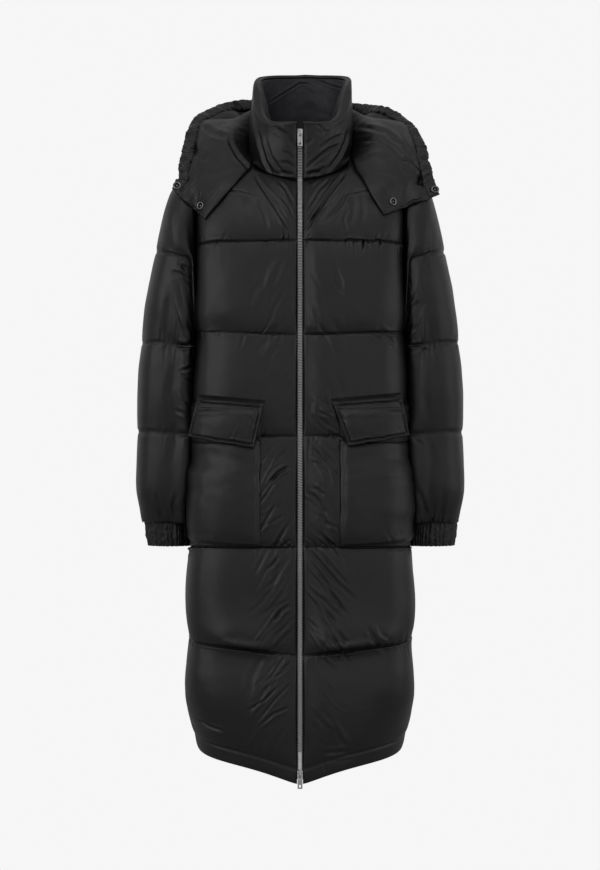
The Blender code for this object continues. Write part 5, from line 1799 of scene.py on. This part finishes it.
class COAT_OT_zip(bpy.types.Operator):
    """Make the metal teeth, the tapes, the sliders and their pull tabs"""

    bl_idname = "coat.zip"
    bl_label = "Zip"

    def execute(self, context):
        colour = context.scene.coat_colours.metal
        finish = metal("cast_metal", colour, 0.34)
        toothed = metal("tooth_metal", [c * TOOTH_SHADE for c in colour], 0.45)
        half_along, half_across, (under, over), bevel = TOOTH_BOX
        low, high = (-half_along, -half_across, under), (half_along, half_across, over)
        teeth = []
        for sign, start in ((1, 0.0), (-1, TOOTH_PITCH / 2)):
            z = np.arange(CHAIN_FOOT + 1.5 + start, CHAIN_HEAD - 1.0, TOOTH_POINTS)
            points, normals = zip_place(z)
            line = points + normals * TOOTH_LIFT + np.array((sign * TOOTH_ASIDE, 0, 0))
            piece = link("tooth", bevelled_box("tooth", low, high, bevel))
            row = [(line, normals)]
            teeth.append(repeated(f"teeth_{sign}", row, piece, TOOTH_PITCH, toothed))
            bpy.data.objects.remove(piece, do_unlink=True)
        mesh = bpy.data.meshes.new("zip_chain")
        with edited(mesh, *[made.data for made in teeth]):
            for made in teeth:
                bpy.data.objects.remove(made, do_unlink=True)
        coat_piece(link("zip_chain", mesh, toothed), "zip_chain")
        points, normals = zip_place(np.linspace(CHAIN_FOOT - TAPE_END, CHAIN_HEAD, 301))
        for side, sign in SIDES:
            aside = np.stack([TAPE_ACROSS * sign, 0 * TAPE_ACROSS, 0 * TAPE_ACROSS], -1)
            out = points[:, None] + normals[:, None] * (TAPE_CORD - 0.9)[:, None] + aside
            inn = points[:, None] - normals[:, None] * 2.4 + aside
            name = f"zip_tape_{side}"
            made = shell(name, out, inn, cloth_finish(context, "zip_tape_weave"), step=1)
            piece = coat_piece(made, name)
        for end in ("top", "bottom"):
            for kind, body, bevel in (("slider", "coat", 0.5), ("pull", f"{end}_pull", 0.3)):
                name = f"zip_{kind}_{end}"
                mesh = self.softened(name, bevel)
                coat_piece(link(name, mesh, finish), name, body)
        return {"FINISHED"}

    def softened(self, name, bevel):
        """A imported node's own solid with its edges rounded."""
        mesh = bpy.data.meshes.new(name)
        with edited(mesh, bpy.data.objects[name].data) as built:
            bmesh.ops.remove_doubles(built, verts=built.verts, dist=1e-6)
            flat, steep = math.radians(2), math.radians(30)
            bmesh.ops.dissolve_limit(
                built, angle_limit=flat, verts=built.verts, edges=built.edges
            )
            bmesh.ops.recalc_face_normals(built, faces=built.faces)
            sharp = [e for e in built.edges if e.is_manifold and e.calc_face_angle(0) > steep]
            bmesh.ops.bevel(
                built,
                geom=sharp,
                offset=bevel * MM,
                segments=2,
                affect="EDGES",
                profile=0.5,
                clamp_overlap=True,
            )
        mesh.shade_smooth()
        mesh.set_sharp_from_angle(angle=math.radians(40))
        return mesh


# ------------------------------------------------------------------ stitches


STITCH_LIFT, STITCH_SPACING, STITCH_WANDER = 0.25, 3.7, 0.06
STITCH_SIDES = 5
STITCH_ENDS, STITCH_MIDDLE = (1.35, 0.95), (0.36, 0.3)  # half lengths; half width and height


def sewn_line(points, normals, trim):
    """A line of points and normals just above the cloth, cut short by some points at its ends."""
    first, last = trim
    return (points + normals * STITCH_LIFT)[first:last], normals[first:last]


def sewn_row(panel, row, trim=(0, None)):
    """A line just above one row of a panel's fine outside."""
    grid, normals = panel.fine[row], panel.fine_normals[row]
    if panel.around:
        grid, normals = np.concatenate([grid, grid[:1]]), np.concatenate([normals, normals[:1]])
    return sewn_line(grid, normals, trim)


def sewn_column(panel, column, trim=(0, None)):
    """A line just above one column of a panel's fine outside."""
    return sewn_line(panel.fine[:, column], panel.fine_normals[:, column], trim)


class COAT_OT_stitches(bpy.types.Operator):
    """Make the stitches along the quilting lines, the hem, the pockets and the flaps"""

    bl_idname = "coat.stitches"
    bl_label = "Stitches"

    def execute(self, context):
        piece = link("stitch", self.stitch())
        body, sleeves, details = [], [], []
        for name in ("front_left", "front_right", "back"):
            body += [sewn_row(BUILT[name], row * 2) for row in BUILT[name].rows[:-1]]
        for side, _ in SIDES:
            sleeve = BUILT[f"sleeve_{side}"]
            sleeves += [sewn_row(sleeve, row * 2) for row in sleeve.rows[:-1]]
            pocket, flap = BUILT[f"pocket_{side}"], BUILT[f"pocket_flap_{side}"]
            details.append(sewn_row(pocket, 2, (2, -2)))
            details += [sewn_column(pocket, c, (2, None)) for c in (2, -3)]
            details += [sewn_row(flap, r, (4, -4)) for r in (4, -5)]
            details += [sewn_column(flap, c, (4, -4)) for c in (4, -5)]
        for name, row in (("hood_right", 4), ("hood_left", -5)):
            details.append(sewn_row(BUILT[name], row, (3, -3)))
        finish = thread_finish(context)
        seams = {"body_stitches": body, "sleeve_stitches": sleeves, "edge_stitches": details}
        for name, lines in seams.items():
            made = repeated(name, lines, piece, STITCH_SPACING, finish, STITCH_WANDER)
            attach(made, "coat")
        bpy.data.objects.remove(piece, do_unlink=True)
        return {"FINISHED"}

    def stitch(self):
        """One stitch: a short rod with pointed ends."""
        (tip, end), (wide, high) = STITCH_ENDS, STITCH_MIDDLE
        turns = np.arange(STITCH_SIDES) * 2 * math.pi / STITCH_SIDES
        ring = [(wide * math.cos(a), high * math.sin(a)) for a in turns]
        points = [(-tip, 0, 0), *[(x, *yz) for x in (-end, end) for yz in ring], (tip, 0, 0)]
        faces, far = [], 1 + STITCH_SIDES
        for k in range(STITCH_SIDES):
            after = (k + 1) % STITCH_SIDES
            faces += [
                (0, 1 + after, 1 + k),
                (1 + k, 1 + after, far + after, far + k),
                (len(points) - 1, far + k, far + after),
            ]
        return mesh_from("stitch", points, faces)


# ------------------------------------------------------------------ stage

PAPER = (0.922, 0.922, 0.922, 1)
ROOM_GLOW, FLOOR_GREY = 0.4, (0.45, 0.45, 0.45, 1)
FLOOR_HALF, FLOOR_Z = 9.0, -1.32  # in metres, as are the places below
CAMERA_PLACE, CAMERA_LENS = (0.0, -4.5, -0.471), 109.5
# Each light: its place, what it is aimed at, its power, how wide and how tall.
LIGHTS = {
    "key": ((-2.6, -2.4, 0.7), (0, 0, -0.5), 21.0, 0.5, 2.2),
    "fill": ((1.2, -3.6, 0.0), (0, 0, -0.5), 5.0, 0.4, 2.0),
    "top": ((0.0, -1.6, 2.4), (0, 0, -0.4), 8.0, 1.8, 0.9),
    "right": ((3.0, -1.0, 0.0), (0, 0, -0.5), 9.0, 0.5, 2.4),
}


def shown_apart(tree, output, lit, seen):
    """Shows the camera one shader, and all else another. Each is a kind of node and its inputs."""
    tree.nodes.clear()
    path = added(tree, "ShaderNodeLightPath")
    lit, seen = (added(tree, kind, **inputs).outputs[0] for kind, inputs in (lit, seen))
    is_camera = path.outputs["Is Camera Ray"]
    both = added(tree, "ShaderNodeMixShader", n0=is_camera, n1=lit, n2=seen)
    added(tree, output, n0=both.outputs[0])


class COAT_OT_stage(bpy.types.Operator):
    """Set up the pale floor, the soft lights and the camera"""

    bl_idname = "coat.stage"
    bl_label = "Stage"

    def execute(self, context):
        scene = context.scene
        corners = np.array([(-1, -1), (1, -1), (1, 1), (-1, 1)]) * FLOOR_HALF
        points = np.column_stack([corners, np.full(4, FLOOR_Z)]) / MM
        floor = bpy.data.materials.new("stage_floor")
        floor.use_nodes = True
        shown_apart(
            floor.node_tree,
            "ShaderNodeOutputMaterial",
            ("ShaderNodeBsdfDiffuse", {"Color": FLOOR_GREY}),
            ("ShaderNodeEmission", {"Color": PAPER, "Strength": 1.0}),
        )
        link("stage_floor", mesh_from("stage_floor", points, [(0, 1, 2, 3)]), floor)
        scene.world = bpy.data.worlds.new("studio")
        scene.world.use_nodes = True
        shown_apart(
            scene.world.node_tree,
            "ShaderNodeOutputWorld",
            ("ShaderNodeBackground", {"Color": (1, 1, 1, 1), "Strength": ROOM_GLOW}),
            ("ShaderNodeBackground", {"Color": PAPER, "Strength": 1.0}),
        )
        for name, (place, aim, power, wide, tall) in LIGHTS.items():
            light = bpy.data.lights.new(name, "AREA")
            light.shape = "RECTANGLE"
            light.size, light.size_y, light.energy = wide, tall, power
            holder = link(name, light)
            holder.location = place
            facing = (Vector(aim) - Vector(place)).to_track_quat("-Z", "Y")
            holder.rotation_euler = facing.to_euler()
        camera = bpy.data.cameras.new("camera")
        camera.lens, camera.clip_end = CAMERA_LENS, 50.0
        scene.camera = link("camera", camera)
        scene.camera.location = CAMERA_PLACE
        scene.camera.rotation_euler = (math.pi / 2, 0.0, 0.0)
        scene.view_settings.view_transform = "Standard"
        return {"FINISHED"}


# ------------------------------------------------------------------ the add-on


class CoatSizes(bpy.types.PropertyGroup):
    growth: FloatProperty(
        name="Growth",
        description="How much larger the shell is cut than its seams",
        default=0.075,
        min=0.0,
        max=0.2,
    )
    pressure: FloatProperty(
        name="Pressure",
        description="How hard the filling pushes the shell out",
        default=40.0,
        min=0.0,
    )


def colour(name, description, *rgb):
    return FloatVectorProperty(name=name, description=description, subtype="COLOR", default=rgb)


class CoatColours(bpy.types.PropertyGroup):
    shell: colour("Shell", "The nylon's colour", 0.0045, 0.0045, 0.0049)
    lining: colour("Lining", "The lining's colour", 0.010, 0.0105, 0.0145)
    tape: colour("Tape", "The zip tape's colour", 0.016, 0.016, 0.014)
    thread: colour("Thread", "The sewing thread's colour", 0.006, 0.006, 0.0065)
    metal: colour("Zip metal", "The zip's metal", 0.62, 0.62, 0.63)
    snap: colour("Snap metal", "The snaps' metal", 0.2, 0.2, 0.21)


class COAT_PT_panel(bpy.types.Panel):
    """Builds the coat, piece by piece"""

    bl_label = "Long Puffer Coat"
    bl_idname = "COAT_PT_panel"
    bl_space_type = "VIEW_3D"
    bl_region_type = "UI"
    bl_category = "Coat"

    def draw(self, context):
        for group in (context.scene.coat_sizes, context.scene.coat_colours):
            for name in type(group).__annotations__:
                self.layout.prop(group, name)
        for operator in OPERATORS:
            self.layout.operator(operator.bl_idname)


OPERATORS = (
    COAT_OT_stage,
    COAT_OT_body,
    COAT_OT_sleeves,
    COAT_OT_cuffs,
    COAT_OT_collar,
    COAT_OT_pockets,
    COAT_OT_hood,
    COAT_OT_snaps,
    COAT_OT_zip,
    COAT_OT_stitches,
)
CLASSES = (CoatSizes, CoatColours, *OPERATORS, COAT_PT_panel)


def register():
    for kind in CLASSES:
        bpy.utils.register_class(kind)
    bpy.types.Scene.coat_sizes = PointerProperty(type=CoatSizes)
    bpy.types.Scene.coat_colours = PointerProperty(type=CoatColours)


def unregister():
    del bpy.types.Scene.coat_sizes
    del bpy.types.Scene.coat_colours
    for kind in reversed(CLASSES):
        bpy.utils.unregister_class(kind)


def main():
    register()
    for operator in OPERATORS:
        group, name = operator.bl_idname.split(".")
        getattr(getattr(bpy.ops, group), name)()


if __name__ == "__main__":
    main()
